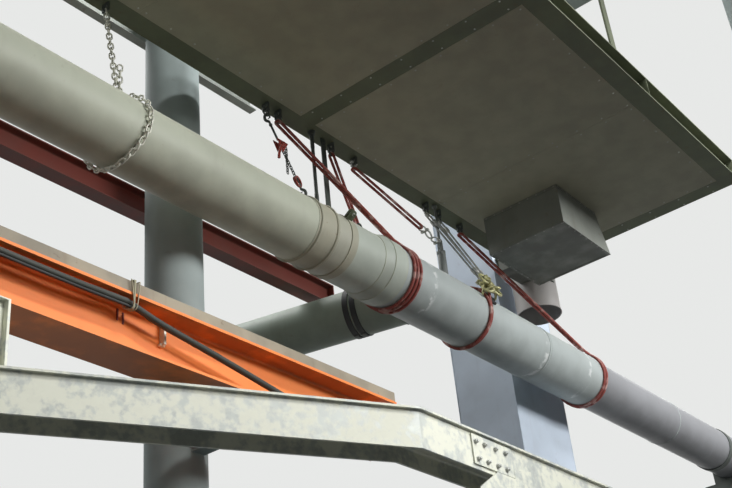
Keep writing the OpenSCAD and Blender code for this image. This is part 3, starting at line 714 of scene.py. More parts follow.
# The pale worn colour is wear and also a painted highlight on the slings' upper faces.
looks["sling_web"] = new_material("sling_web", web_group, {
    "Web": (0.36, 0.095, 0.080, 1.0), "Worn And Highlight": (0.68, 0.46, 0.42, 1.0), "Wear And Highlight": 0.95}, bump=0.5)
changes_along(looks["pale_pipe"], 7800, 7900, (0.50, 0.50, 0.41), (0.54, 0.59, 0.52))
scuffed_at(looks["grey_pipe"], (9100, 11250, 12200), (0.86, 0.88, 0.87))

# These nodes have a look of their own within their slot
NODE_LOOKS = {
    "vent_spigot": "spigot_metal", "near_hanger": "clamp_paint", "middle_hanger": "clamp_paint",
    "pipe_middle": "pale_pipe", "pipe_coupling": "dusty_pipe", "pipe_end": "end_pipe",
}


def finish_nodes():
    for part in frame["record"]["subparts"]:
        node = frame["nodes"][part["node"]]
        material = looks[NODE_LOOKS.get(part["node"], part["material_slot"])]
        if not node.material_slots:
            node.data.materials.append(material)
        for place in node.material_slots:
            place.material = material


# Fastenings, each modelled once and copied
def open_prism(sides, radius, depth, middle):
    """Upright prism, in edit mode with only its top face selected."""
    deselect()
    bpy.ops.mesh.primitive_cylinder_add(vertices=sides, radius=radius, depth=depth, location=(0, 0, middle))
    made = bpy.context.object
    bpy.ops.object.mode_set(mode="EDIT")
    bpy.ops.mesh.select_all(action="DESELECT")
    bpy.ops.object.mode_set(mode="OBJECT")
    for face in made.data.polygons:
        face.select = face.normal.z > 0.9
    bpy.ops.object.mode_set(mode="EDIT")
    return made


def make_bolt(size):
    """Washer, nut and the end of the bolt, standing on the origin along Z."""
    washer = round_bar((0, 0, size * 0.08), size * 1.05, size * 0.16, eased=size * 0.03)
    nut = open_prism(6, size * 0.87, size * 0.8, size * 0.56)
    bpy.ops.mesh.inset(thickness=size * 0.12, depth=size * 0.06)
    bpy.ops.mesh.inset(thickness=size * 0.2)
    bpy.ops.object.mode_set(mode="OBJECT")
    end = round_bar((0, 0, size * 1.15), size * 0.5, size * 0.5, sides=16, eased=size * 0.08)
    return join([washer, ease(nut, size * 0.03), end])


def make_screw(size):
    """Low domed screw head with a slot's hollow, on the origin along Z."""
    head = open_prism(12, size, size * 0.5, size * 0.25)
    bpy.ops.mesh.inset(thickness=size * 0.35, depth=size * 0.15)
    bpy.ops.mesh.inset(thickness=size * 0.2)
    bpy.ops.mesh.inset(thickness=size * 0.1, depth=-size * 0.2)
    bpy.ops.object.mode_set(mode="OBJECT")
    return smooth(head, 30)


def fasten(name, master, places, look="bolt_zinc"):
    """Copies of one fastening, each at (place, normal), joined as one piece."""
    settle([copy_of(master, facing(place, normal)) for place, normal in places], name, look)


def weld_bead(points, radius, closed=False):
    """A weld's rippled bead along the points."""
    ripple = [1.0 + 0.14 * math.sin(i * 2.2) for i in range(len(points))]
    return tube(points, radius, 8, closed, ripple)


def ring_beads(rows):
    """Beads round the run, each with its station, its radius and its own thickness."""
    return [weld_bead(ring(Vector((station(s), PIPE_Y, PIPE_Z)), Y_AXIS * radius, Z_AXIS * radius, 200),
                      bead, True) for s, radius, bead in rows]


# Shackles, slings and ropes
def make_shackle():
    """Bow shackle, its pin along X at the origin and its bow hanging down."""
    half = [(0.033, 0.012), (0.033, -0.012), (0.039, -0.034), (0.045, -0.060), (0.037, -0.085),
            (0.020, -0.099), (0.0, -0.104)]
    line = [(-x, 0.0, z) for x, z in half] + [(x, 0.0, z) for x, z in reversed(half[:-1])]
    parts = [tube(rounded(line, 5), 0.011)]
    eyes_pin_and_ends = ((-0.033, 0.024, 0.022, 24, 0.003), (0.033, 0.024, 0.022, 24, 0.003),
                         (0.0, 0.012, 0.118, 24, 0.002), (0.054, 0.020, 0.014, 6, 0.002),
                         (-0.053, 0.019, 0.014, 6, 0.002))
    for x, radius, length, sides, eased in eyes_pin_and_ends:
        parts.append(round_bar((x, 0, 0), radius, length, FAR, sides, eased))
    cotter = [(-0.0635, -0.004, -0.020), (-0.0635, 0.0, 0.0), (-0.0635, 0.004, 0.020)]
    parts.append(tube(rounded(cotter, 3), 0.0022, 6))
    return join(parts)


def hang_shackle(shackle, pin, pull, across, size=SHACKLE_SIZE):
    """A copy with its pin along across and its bow on the side of the pull."""
    return copy_of(shackle, facing(pin, -Vector(pull), across) @ Matrix.Scale(size, 4))


def lug_shackle(shackle, lug):
    return hang_shackle(shackle, (station(lug), EDGE_MIDDLE, PIN_Z), DOWN, FAR)


def lug_bow(lug):
    return Vector((station(lug), EDGE_MIDDLE, PIN_Z - BOW_DROP))


def turns_round(start, total_turn):
    """Angles that go back from the start, each with its share of the way."""
    steps = round(total_turn / math.radians(5))
    return [(start - total_turn * i / steps, i / steps) for i in range(steps + 1)]


def choked_loop(bow, low_x, turns, radius):
    """Endless line over a shackle's bow, down to the pipe's upper side, round it and back up."""
    meet = math.radians(118)
    gap = math.radians(8)
    choke = on_pipe(low_x - 0.02, radius, meet)
    away = (choke - bow).normalized()
    across = (Y_AXIS - away * away.y).normalized()
    wrap = []
    for angle, share in turns_round(meet - gap, math.tau * turns - 2 * gap):
        x = low_x + TURN_PITCH * turns * (share - 0.5) + RING_LEAN * (0.5 - 0.5 * math.sin(angle))
        wrap.append(on_pipe(x, radius, angle))
    top = half_ring(bow, Y_AXIS * LOOP_R, -away * LOOP_R)
    meeting = choke - away * 0.06
    down = between(top[0], meeting + across * LEG_R, LEG_STEP)[1:]
    back = between(meeting - across * LEG_R, top[-1], LEG_STEP)[:-1]
    return top[::-1] + down + wrap + back


def two_legs(top, foot, side):
    """Endless line of two legs between two bows."""
    away = (foot - top).normalized()
    upper = half_ring(top, Y_AXIS * LOOP_R, -away * LOOP_R)
    lower = half_ring(foot, side * LOOP_R, away * LOOP_R)
    return (upper[::-1] + between(upper[0], lower[0], LEG_STEP)[1:-1] + lower
            + between(lower[-1], upper[-1], LEG_STEP)[1:-1])


def make_sling(name, line, radius, stands_for=()):
    """Endless sling in a woven sheath, which is never of one thickness."""
    swell = [1.0 + 0.06 * math.sin(i * 2.1) * math.sin(i * 0.37) for i in range(len(line))]
    settle([tube(line, radius, 12, True, swell)], name, "sling_web", stands_for=stands_for)


def make_slings(shackle):
    for name, lug, low, turns, radius in (("collar", 7310, 8750, 3, TEE_R), ("far", 10340, 12500, 2, FAR_R)):
        line = choked_loop(lug_bow(lug), station(low), turns, radius + TURN_R)
        make_sling(name + "_round_sling", line, TURN_R, (name + "_sling",))
        settle([lug_shackle(shackle, lug)], name + "_sling_shackle", "dark_steel")
    make_upper_sling(shackle)
    make_middle_sling(shackle)


def make_upper_sling(shackle):
    """Short sling from its lug down to the plate that stands on the pipe."""
    lug = 8090
    pin = Vector((station(8350), PIPE_Y, 7.638))
    pull = (lug_bow(lug) - pin).normalized()
    line = two_legs(lug_bow(lug), pin + pull * BOW_DROP, pull.cross(Y_AXIS).normalized())
    make_sling("upper_round_sling", line, LEG_R, ("upper_sling",))
    settle([lug_shackle(shackle, lug), hang_shackle(shackle, pin, pull, LEFT)],
           "upper_sling_shackles", "dark_steel")


# The shackles that gather the wire ropes stand off the pipe, turned a little to the right
BUNCH_TURN = math.radians(145)
BUNCH = on_pipe(station(10085), 0.372, BUNCH_TURN)
BUNCH_SIZE = 1.30


def make_middle_sling(shackle):
    """Two turns round the pipe that part at the gathered shackles, and the pad below them."""
    out = BUNCH - Vector((BUNCH.x, PIPE_Y, PIPE_Z))
    radius = TEE_R + TURN_R
    opening = math.acos(radius / out.length)
    line = [BUNCH + Vector((-0.01, 0.02, 0.012))]
    for angle, share in turns_round(BUNCH_TURN - opening, 2 * math.tau - 2 * opening):
        line.append(on_pipe(BUNCH.x - 0.048 + 0.040 * share, radius, angle))
    line.append(BUNCH + Vector((0.01, -0.02, -0.006)))
    make_sling("middle_round_sling", line, TURN_R, ("middle_sling",))
    make_wire_ropes(shackle, out.normalized())
    strips = []
    for turn in range(-18, 19, 6):
        ends = [on_pipe(BUNCH.x + x, TEE_R + 0.012, BUNCH_TURN + math.radians(turn)) for x in (-0.02, 0.11)]
        strips.append(tube(ends, 0.019, 10))
    settle(strips, "shackle_pad", "black_rubber")


def twisted(line, radius, strands=6, lay=0.16):
    """Rope of strands laid about the line of the points, on its core."""
    sides = 6
    along = [(b - a).normalized() for a, b in zip(line, line[1:])]
    along.append(along[-1])
    side = along[0].orthogonal().normalized()
    frames = []
    for ahead in along:
        side = (side - ahead * side.dot(ahead)).normalized()
        frames.append((side.copy(), ahead.cross(side)))
    parts = [tube(line, radius * 0.45, sides)]
    walked = [0.0]
    for a, b in zip(line, line[1:]):
        walked.append(walked[-1] + (b - a).length)
    for strand in range(strands):
        made = []
        for point, (u, v), far in zip(line, frames, walked):
            turn = math.tau * (far / lay + strand / strands)
            made.append(point + (u * math.cos(turn) + v * math.sin(turn)) * radius * 0.64)
        parts.append(tube(made, radius * 0.36, sides))
    return join(parts)


def make_wire_ropes(shackle, outward):
    """Two doubled ropes from their lugs to the gathered shackles."""
    heap = (((0.0, 0.0, 0.060), (0.2, 0.3, -1.0), (1.0, 0.0, 0.0)),
            ((0.050, -0.015, 0.045), (0.5, 0.2, -0.9), (0.4, 1.0, 0.0)),
            ((-0.040, -0.025, 0.055), (-0.3, -0.4, -0.9), (1.0, -0.6, 0.0)),
            ((0.020, -0.050, 0.020), (0.9, -0.2, -0.3), (0.0, 0.5, 1.0)),
            ((-0.015, -0.045, 0.085), (-0.8, 0.1, 0.2), (0.3, 0.4, 1.0)),
            ((0.060, 0.010, 0.085), (0.1, -0.9, -0.5), (1.0, 0.0, 0.2)))
    bunch = [hang_shackle(shackle, BUNCH + Vector(shift), pull, across, BUNCH_SIZE)
             for shift, pull, across in heap]
    ropes = []
    ferrules = []
    for lug, hand in zip(ROPE_LUGS, (-1, 1)):
        bow = lug_bow(lug)
        base = BUNCH + outward * 0.05 + X_AXIS * 0.045 * hand
        pull = (bow - base).normalized()
        eye = base + pull * 0.090
        bunch.append(hang_shackle(shackle, eye, -pull, (0.5, hand * 0.8, 0), BUNCH_SIZE * 0.9))
        for side in (-1, 1):
            shift = Y_AXIS * 0.017 * side
            ropes.append(twisted(between(bow + shift, eye + shift, 0.016), 0.011))
            for place in (bow + shift - pull * 0.14, eye + shift + pull * 0.13):
                ferrules.append(round_bar(place, 0.018, 0.07, pull, 20, 0.005))
        across = (X_AXIS - pull * pull.x).normalized()
        for place in (bow, eye):
            ropes.append(tube(ring(place, across * 0.030, pull * 0.030, 24), 0.011, 10, True))
    settle(ropes, "wire_rope_strands", "rope_steel", stands_for=("wire_ropes",))
    settle(ferrules, "rope_ferrules", "rope_steel")
    settle(bunch, "rope_shackles", "passivated_zinc")
    settle([lug_shackle(shackle, lug) for lug in ROPE_LUGS], "rope_lug_shackles", "dark_steel")


def thread(place, radius, length, pitch=0.006):
    """Threaded rod: a core with the thread wound round it."""
    root = radius * 0.9
    core = round_bar(place + Z_AXIS * length / 2, root, length, eased=0.001)
    a_turn = 10
    count = int(length / pitch * a_turn)
    wound = [place + Vector((root * math.cos(math.tau * i / a_turn), root * math.sin(math.tau * i / a_turn),
                             length * i / count)) for i in range(count + 1)]
    return join([core, tube(wound, pitch * 0.32, 4)])


def make_turnbuckle(shackle):
    """Tube turnbuckle between the pipe and the deck, with the sling that pulls on its plate."""
    lug = 8450
    x = station(9810)
    y = PIPE_Y + 0.020
    foot = PIPE_Z + TEE_R
    parts = [round_bar((x, y, foot + 0.210), 0.045, 0.380, sides=40, eased=0.010)]
    for z in (0.028, 0.392):
        parts.append(round_bar((x, y, foot + z), 0.054, 0.036, sides=6, eased=0.004))
    parts += [thread(Vector((x, y, foot)), 0.015, 0.07),
              thread(Vector((x, y, foot + 0.40)), 0.015, DECK_Z - foot - 0.41),
              block_at(about(x, 0.060), about(y, 0.045), (foot, foot + 0.014)),
              block_at(about(x, 0.05), about(y, 0.008), (foot + 0.40, foot + 0.58), 0.008),
              round_bar((x, y, foot + 0.49), 0.026, 0.15, eased=0.006),
              round_bar((x, y, DECK_Z - 0.016), 0.034, 0.026, sides=6, eased=0.003)]
    settle(parts, "turnbuckle_body", "turnbuckle_paint", stands_for=("turnbuckle",))
    plate_hole = Vector((x - 0.045, y, foot + 0.52))
    pull = (lug_bow(lug) - plate_hole).normalized()
    foot_bow = plate_hole + pull * 0.30
    make_sling("turnbuckle_round_sling", two_legs(lug_bow(lug), foot_bow, Y_AXIS), LEG_R)
    link = ring(plate_hole + pull * 0.155, Y_AXIS.cross(pull) * 0.045, pull * 0.055, 32)
    gear = [tube(link, 0.010, 10, True), hang_shackle(shackle, foot_bow - pull * BOW_DROP, pull, LEFT),
            hang_shackle(shackle, plate_hole, pull, LEFT), lug_shackle(shackle, lug)]
    settle(gear, "turnbuckle_sling_gear", "rope_steel")


# Chains and the lever hoist
def make_link(length, width, wire):
    """Welded link at the origin, long along Z and flat in XZ."""
    across = X_AXIS * (width - wire) / 2
    along = Z_AXIS * (width - wire) / 2
    end = Z_AXIS * (length - width) / 2
    return tube(half_ring(end, across, along) + half_ring(-end, -across, -along), wire / 2, 8, True)


def chain_between(start, end, wire=0.009, width=0.032):
    """Links between two points, each turned a quarter from the last."""
    length = width * 1.45
    link = make_link(length, width, wire)
    run = end - start
    count = max(2, round(run.length / (length - 2 * wire)))
    turn = (-run).to_track_quat("Z", "Y").to_matrix().to_4x4()
    made = []
    for i in range(count):
        spin = Matrix.Rotation(math.pi / 2 * (i % 2), 4, "Z")
        made.append(copy_of(link, Matrix.Translation(start + run * ((i + 0.5) / count)) @ turn @ spin))
    drop(link)
    return join(made)


def make_near_chain():
    """Chain from its lug down to the links that grip the pipe."""
    wire = 0.015
    width = 0.056
    pitch = 0.054
    tilt = 0.09
    top_side = math.radians(90)
    low_side = math.radians(165)
    foot_x = station(5290)
    foot = on_pipe(foot_x, PIPE_R + 0.075, top_side)
    made = [chain_between(Vector((station(5200), EDGE_MIDDLE, 8.528)), foot, wire, width),
            chain_between(foot + Vector((0.0, -0.030, 0.28)), foot + Vector((0.01, -0.012, 0.0)),
                          wire, width)]
    link = make_link(0.080, width, wire)
    radius = PIPE_R + 0.027
    count = 2 * round(math.tau * radius / pitch / 2)
    for i in range(count):
        angle = math.tau * i / count
        lean = tilt * (math.cos(angle - low_side) - math.cos(low_side - top_side))
        place = on_pipe(foot_x + max(lean, lean * 0.35), radius, angle)
        out = Vector((0.0, math.cos(angle), math.sin(angle)))
        ahead = X_AXIS.cross(out)
        side = X_AXIS if i % 2 else out
        turn = Matrix((side, ahead.cross(side), ahead)).transposed().to_4x4()
        made.append(copy_of(link, Matrix.Translation(place) @ turn))
    hook = make_hook(0.10)
    made.append(copy_of(hook, Matrix.Translation(foot + Vector((0.03, -0.02, 0.03)))
                        @ Matrix.Rotation(math.radians(50), 4, "Y")))
    drop(link, hook)
    settle(made, "near_chain_links", "chain_zinc", stands_for=("near_chain",))


def make_hook(size):
    """Hook that hangs from the origin along its shank, opening to +X."""
    line = [(0, 0, 0.0), (0, 0, -0.3), (-0.02, 0, -0.42), (-0.21, 0, -0.60), (-0.24, 0, -0.82),
            (-0.10, 0, -1.02), (0.12, 0, -1.02), (0.25, 0, -0.86), (0.25, 0, -0.72), (0.20, 0, -0.62)]
    points = rounded([Vector(p) * size for p in line], 5)
    last = len(points) - 1
    swell = [0.75 + 0.45 * math.sin(math.pi * min(1.0, i / last * 1.15)) for i in range(last + 1)]
    collar = round_bar((0, 0, -0.10 * size), 0.14 * size, 0.16 * size, eased=0.02 * size)
    latch = block(Vector((-0.02, -0.03, -0.66)) * size, Vector((0.22, 0.03, -0.60)) * size, 0.008 * size)
    return join([tube(points, size * 0.10, 12, False, swell), collar, latch])


def make_hoist(shackle):
    """Lever hoist from its lug to the plate that stands on the coupling."""
    lug = 7140
    top = lug_bow(lug)
    foot = Vector((station(COUPLING_LUG), PIPE_Y, 7.660))
    run = (foot - top).normalized()
    body = top + run * 0.33
    grip = foot - run * 0.16
    turn = facing((0, 0, 0), -run, LEFT)
    slack = body + Vector((0.075, 0.0, 0.02))
    hook = make_hook(0.12)
    steel = [lug_shackle(shackle, lug),
             copy_of(hook, Matrix.Translation(top + run * 0.115) @ turn @ Matrix.Rotation(math.pi, 4, "Y")),
             tube(between(top + run * 0.10, body - run * 0.06, 0.03), 0.011, 10),
             chain_between(body + run * 0.05, grip),
             chain_between(slack, slack - Z_AXIS * 0.30),
             copy_of(hook, Matrix.Translation(grip) @ turn),
             tube(ring(foot + Z_AXIS * 0.004, X_AXIS * 0.026, Z_AXIS * 0.026, 24), 0.006, 8, True)]
    drop(hook)
    make_hoist_housing(body)
    settle(steel, "hoist_chain_and_hooks", "dark_steel")
    low = PIPE_Z + PIPE_R + 0.0063
    lug_plates = [block_at(about(foot.x, 0.050), about(PIPE_Y, 0.007), (low, low + 0.085), 0.006),
                  block_at(about(foot.x, 0.055), about(PIPE_Y, 0.030), (low, low + 0.010))]
    settle(lug_plates, "coupling_lug", "dark_steel")
    loop = []
    count = 49
    for i in range(count):
        angle = 2 * math.tau * i / count
        sway = Vector((0.030 * math.sin(angle), 0.012 * math.sin(angle / 2), 0.012 * math.sin(angle)))
        loop.append(grip + run * (0.055 * math.cos(angle) - 0.03) + sway)
    settle([tube(loop, 0.009, 10, True)], "hoist_loop", "sling_web")


def make_hoist_housing(body):
    """Two three-cornered cheeks with the hub between them, and the lever."""
    plates = []
    for side in (-1, 1):
        deselect()
        bpy.ops.mesh.primitive_cylinder_add(vertices=3, radius=0.090, depth=0.012)
        cheek = bpy.context.object
        cheek.matrix_world = (Matrix.Translation(body + Y_AXIS * 0.026 * side)
                              @ Matrix.Rotation(math.radians(-90), 4, "X"))
        plates.append(ease(cheek, 0.008, 3))
    plates.append(round_bar(body, 0.040, 0.046, LEFT, 32, 0.004))
    plates.append(round_bar(body - Y_AXIS * 0.040, 0.028, 0.018, LEFT, 24, 0.004))
    bends = ((0.0, -0.052, 0.0), (-0.05, -0.056, -0.05), (-0.09, -0.056, -0.14), (-0.10, -0.056, -0.21))
    lever = rounded([body + Vector(p) for p in bends], 5)
    swell = [1.0 + 0.5 * i / (len(lever) - 1) for i in range(len(lever))]
    plates.append(tube(lever, 0.010, 10, False, swell))
    settle(plates, "hoist_housing", "hoist_paint", stands_for=("lever_hoist",))


# The girder's own cables, the cord that ties them and the small plates on its web
def make_girder_cables():
    thick = [(900, 0.545, 5.526), (2400, 0.545, 5.526), (3300, 0.545, 5.522), (4050, 0.545, 5.508),
             (4600, 0.545, 5.504), (5000, 0.545, 5.512), (5090, 0.545, 5.508), (5385, 0.542, 5.440),
             (5910, 0.540, 5.360), (6480, 0.540, 5.268), (6850, 0.548, 5.214), (7250, 0.565, 5.1975),
             (7985, 0.580, 5.1975)]
    thin = [(900, 0.532, 5.490), (2400, 0.532, 5.490), (3300, 0.532, 5.486), (4050, 0.532, 5.472),
            (4600, 0.532, 5.469), (5000, 0.534, 5.476), (5090, 0.534, 5.474), (5200, 0.565, 5.482),
            (5400, 0.578, 5.447), (5910, 0.576, 5.372), (6480, 0.576, 5.280), (6850, 0.583, 5.224),
            (7250, 0.602, 5.206), (7985, 0.616, 5.206)]
    routes = (("girder_thick_cable", thick, 0.024, "thick_hose", ("girder_cable",)),
              ("girder_thin_cable", thin, 0.010, "black_rubber", ()))
    for name, route, radius, look, node in routes:
        line = rounded([(station(x), y, z) for x, y, z in route], 10)
        settle([tube(line, radius, 14)], name, look, stands_for=node)
    clips = []
    for s in (1300, 2400):
        hoop = [(station(s), y, z) for y, z in ((0.515, 5.552), (0.515, 5.490), (0.545, 5.458),
                                                (0.575, 5.490), (0.575, 5.552))]
        clips.append(tube(rounded(hoop, 5), 0.004, 8))
    settle(clips, "girder_cable_clips", "bolt_zinc")
    around = [(0.496, 5.667), (0.496, 5.560), (0.503, 5.470), (0.530, 5.452), (0.572, 5.470),
              (0.588, 5.520), (0.610, 5.600), (0.612, 5.660), (0.600, 5.674), (0.520, 5.674)]
    shape = rounded([(0.0, y, z) for y, z in around], 4)
    turns = 5
    line = []
    for i, point in enumerate(shape * turns):
        share = i / len(shape)
        stray = 0.022 * math.sin(share * 2.7) + 0.012 * math.sin(share * 7.1)
        line.append(Vector((station(5062) + 0.075 * share / turns + stray, point.y, point.z)))
    settle([tube(line, 0.0045, 8)], "girder_cord_tie", "cord_yarn")


def make_cable_boxes(screw):
    """A small box with glands at each end of the girder's cables."""
    boxes = []
    places = []
    lid = 0.008
    rim = 0.004
    inset = 0.014
    for first, last, y, z in ((905, 1015, (0.500, 0.664), (5.436, 5.551)),
                              (7860, 7990, (0.525, 0.668), (5.1745, 5.275))):
        x = (station(first), station(last))
        boxes.append(block_at(x, y, z, 0.005))
        boxes.append(block_at((x[0] + rim, x[1] - rim), (y[0] - lid, y[0] + rim),
                              (z[0] + rim, z[1] - rim)))
        places += [((a, y[0] - lid, b), RIGHT) for a in (x[0] + inset, x[1] - inset)
                   for b in (z[0] + inset, z[1] - inset)]
    for s, y, z, radius in ((1023, 0.545, 5.5265, 0.025), (1023, 0.532, 5.490, 0.0155),
                            (7852, 0.576, 5.199, 0.025), (7852, 0.614, 5.207, 0.0155)):
        boxes.append(round_bar((station(s), y, z), radius, 0.020, FAR, 6))
    settle(boxes, "cable_end_boxes", "vent_metal")
    fasten("cable_box_screws", screw, places)


def make_girder_plates(bolt):
    """The bar on the girder's web, dark red blocks as painted shade of the slots in it, and the bolts
    through its seats.
    """
    x = station(5475)
    web = 0.669
    bar = [block_at(about(x, 0.011), (0.615, web), (5.350, 5.522), 0.004),
           block_at(about(x, 0.024), (0.640, web), (5.345, 5.362))]
    settle(bar, "girder_web_lug", "zinc")
    # Dark red blocks on the web stand for the slots: painted shade of their openings.
    slot_shade_blocks = [block_at(about(station(s), 0.008), (0.660, web), about(z, 0.045), 0.004)
             for s, z in ((5084, 5.470), (5134, 5.455))]
    settle(slot_shade_blocks, "girder_web_slot_shade", "red_paint")
    places = []
    for s in (NEAR_COLUMN, MIDDLE_COLUMN):
        for x, y in corners(station(s), GIRDER_Y, 0.045, 0.120):
            places += [((x, y, GIRDER_Z + 0.022), UP), ((x, y, GIRDER_Z - 0.014), DOWN)]
    fasten("girder_seat_bolts", bolt, places)


# The galvanised section and the columns
def make_near_post():
    """Two flanges and a web between end plates, in the place of the plain post."""
    low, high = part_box("galvanised_post")
    flange = 0.020
    plate = 0.012
    inset = 0.004
    inner = (low[0] + inset, high[0] - inset)
    depth = (low[1] + 0.002, high[1] - 0.002)
    y = (low[1], high[1])
    z = (low[2], high[2])
    parts = [block_at((low[0], low[0] + flange), y, z),
             block_at((high[0] - flange, high[0]), y, z),
             block_at((low[0] + flange - inset, high[0] - flange + inset), about(sum(y) / 2, 0.006), z),
             block_at(inner, depth, (low[2], low[2] + plate)),
             block_at(inner, depth, (high[2] - plate, high[2]))]
    settle(parts, "near_post_section", "zinc", stands_for=("galvanised_post",))


def make_galvanised_details(bolt):
    """Bolts of the splice and the gusset, the cover plate's stitch welds and the prop's anchors."""
    plate = 0.012
    face = GALV_FACE - plate
    back = GALV_BACK + plate
    upper = GALV_Z - 0.084
    lower = GALV_Z - 0.208
    places = [((station(s), face, upper), RIGHT) for s in (7029, 7137, 7273, 7402)]
    places += [((station(s), face, lower), RIGHT) for s in (7037, 7154, 7279, 7395)]
    places += [((station(s), back, z), LEFT) for s in (7040, 7140, 7340, 7440) for z in (upper, lower)]
    places += [((station(s), face, GALV_Z - 0.480), RIGHT) for s in (7074, 7194, 7549, 7669)]
    fasten("splice_bolts", bolt, places)
    stitch = 90
    step = 230
    weld_z = GALV_Z - 0.0145
    beads = []
    for y in (GALV_FACE - 0.002, GALV_BACK + 0.002):
        for start in range(6640, 11511, step):
            ends = [Vector((station(s), y, weld_z)) for s in (start, start + stitch)]
            beads.append(weld_bead(between(*ends, 0.009), 0.005))
    settle(beads, "cover_plate_welds", "zinc")
    anchors = [((*place, 0.025), UP) for place in corners(station(11800), -0.660, 0.165, 0.165)]
    fasten("prop_anchor_bolts", bolt, anchors)


def make_column_details(bolt, large):
    """Anchor bolts, the welds at both ends of each column and the bolts of the runway beams."""
    anchors = []
    beads = []
    radius = COLUMN_R + 0.003
    for s, y in ((NEAR_COLUMN, COLUMN_Y), (MIDDLE_COLUMN, COLUMN_Y), (NEAR_COLUMN, RIGHT_COLUMN_Y),
                 (FAR_COLUMN, RIGHT_COLUMN_Y)):
        anchors += [((*place, 0.030), UP) for place in corners(station(s), y, 0.3, 0.3)]
        for z in (0.034, COLUMN_TOP - 0.034):
            round_it = ring(Vector((station(s), y, z)), X_AXIS * radius, Y_AXIS * radius, 120)
            beads.append(weld_bead(round_it, 0.006, True))
    fasten("column_anchor_bolts", large, anchors)
    settle(beads, "column_welds", "column_paint")
    tops = []
    for s, y in ((NEAR_COLUMN, RUNWAY_LEFT), (NEAR_COLUMN, RUNWAY_RIGHT), (MIDDLE_COLUMN, RUNWAY_LEFT),
                 (MIDDLE_COLUMN, RUNWAY_RIGHT), (FAR_COLUMN, RUNWAY_RIGHT)):
        for x in about(station(s), 0.085):
            tops += [((x, y, COLUMN_TOP - 0.014), DOWN), ((x, y, COLUMN_TOP + 0.018), UP)]
    fasten("runway_bolts", bolt, tops)


# The run's clamps and welds
def make_clamp_ear(bolt):
    """Two lugs on the middle clamp's band, with the bolt that draws them together."""
    turn = math.radians(146)
    eye = 0.066
    out = Vector((0.0, math.cos(turn), math.sin(turn)))
    tangent = out.cross(X_AXIS)
    foot = (Matrix.Translation(on_pipe(station(7836), PIPE_R + 0.006, turn))
            @ Matrix((X_AXIS, tangent, out)).transposed().to_4x4())
    lugs = []
    for side in (-0.020, 0.020):
        lugs.append(block_at((-0.040, 0.040), about(side, 0.005), (0.0, 0.070), 0.004))
        lugs.append(round_bar((0.0, side, eye), 0.036, 0.012, LEFT, 32))
    lugs.append(round_bar((0.0, 0.0, eye), 0.010, 0.100, LEFT, 20))
    ear = join(lugs)
    ear.matrix_world = foot
    settle([ear], "middle_clamp_ear", "olive_steel")
    heads = [(foot @ Vector((0.0, side * 0.026, eye)), tangent * side) for side in (-1, 1)]
    fasten("middle_clamp_ear_bolts", bolt, heads)


def make_hanger_details(bolt, rod_nut):
    for name, s in (("near", 2100), ("middle", 7860)):
        x = station(s)
        rod_x = x - 0.060
        top = PIPE_Z + PIPE_R + 0.068
        places = []
        for dx in (-0.085, 0.02, 0.125):
            for z in (top - 0.022, top - 0.052):
                places += [((x + dx, EDGE_MIDDLE - 0.025, z), RIGHT),
                           ((x + dx, EDGE_MIDDLE + 0.025, z), LEFT)]
        places += [((x + 0.110, EDGE_MIDDLE - 0.006, z), RIGHT) for z in (top + 0.04, DECK_Z - 0.05)]
        fasten(name + "_hanger_bolts", bolt, places, "dark_steel")
        nuts = [((rod_x, EDGE_MIDDLE, top), UP), ((rod_x, EDGE_MIDDLE, DECK_Z), DOWN)]
        fasten(name + "_hanger_nuts", rod_nut, nuts, "dark_steel")
        threads = [thread(Vector((rod_x, EDGE_MIDDLE, top)), 0.0215, 0.22, 0.007),
                   thread(Vector((rod_x, EDGE_MIDDLE, DECK_Z - 0.20)), 0.0215, 0.199, 0.007)]
        settle(threads, name + "_hanger_threads", "dark_steel")
        leg_y = (EDGE_MIDDLE - 0.050, EDGE_MIDDLE - 0.025)
        leg = block_at(about(x, 0.012), leg_y, (top - 0.135, top - 0.062))
        settle([leg], name + "_clamp_leg", "dark_steel")
    make_clamp_ear(bolt)


def make_pipe_welds():
    on = 0.0005
    near = ring_beads(((3600, PIPE_R, 0.005), (7647, PIPE_R + on, 0.0055), (7365, PIPE_R + on, 0.0055),
                       (8320, PIPE_R + 0.001, 0.005), (8440, TEE_R + 0.0145, 0.005)))
    settle(near, "near_pipe_welds", "cream_pipe")
    far = ring_beads(((8637, TEE_R + on, 0.006), (10122, FAR_R + on, 0.006), (12582, END_R + on, 0.006),
                      (11298, FAR_R + on, 0.005), (11332, FAR_R + on, 0.005), (14600, END_R, 0.005)))
    settle(far, "far_pipe_welds", "grey_pipe")
    make_branch_details()


def make_branch_details():
    """The bead where the branch meets the tee, and the strap's two buckles."""
    turn = math.radians(104.0)
    out = Vector((math.cos(turn), math.sin(turn), 0.0))
    side = Vector((-out.y, out.x, 0.0))
    root = Vector((station(BRANCH), PIPE_Y, PIPE_Z))
    radius = 0.257
    saddle = []
    for spread in ring(Vector(), side * radius, Z_AXIS * radius, 160):
        reach = math.sqrt((TEE_R + 0.002) ** 2 - spread.z ** 2)
        saddle.append(root + spread + out * (reach - spread.y) / out.y)
    settle([weld_bead(saddle, 0.009, True)], "branch_weld", "branch_paint")
    buckles = []
    for length in (0.650, 0.730):
        buckle = block((-0.025, -0.0375, -0.011), (0.025, 0.0375, 0.011), 0.004)
        buckle.matrix_world = (Matrix.Translation(root + out * length - Z_AXIS * 0.262)
                               @ Matrix.Rotation(turn, 4, "Z"))
        buckles.append(place_in_mesh(buckle))
    settle(buckles, "branch_strap_buckles", "dark_steel")


# The deck and the duct below it
def heavy_joist(i):
    return i == 0 or (BAYS - i) % 2 == 0


def joist_middle(i):
    """Station of a joist's middle."""
    shift = JOIST / 2 if i == 0 else -JOIST / 2 if i == BAYS else 0
    return DECK_FROM + i * BAY + shift


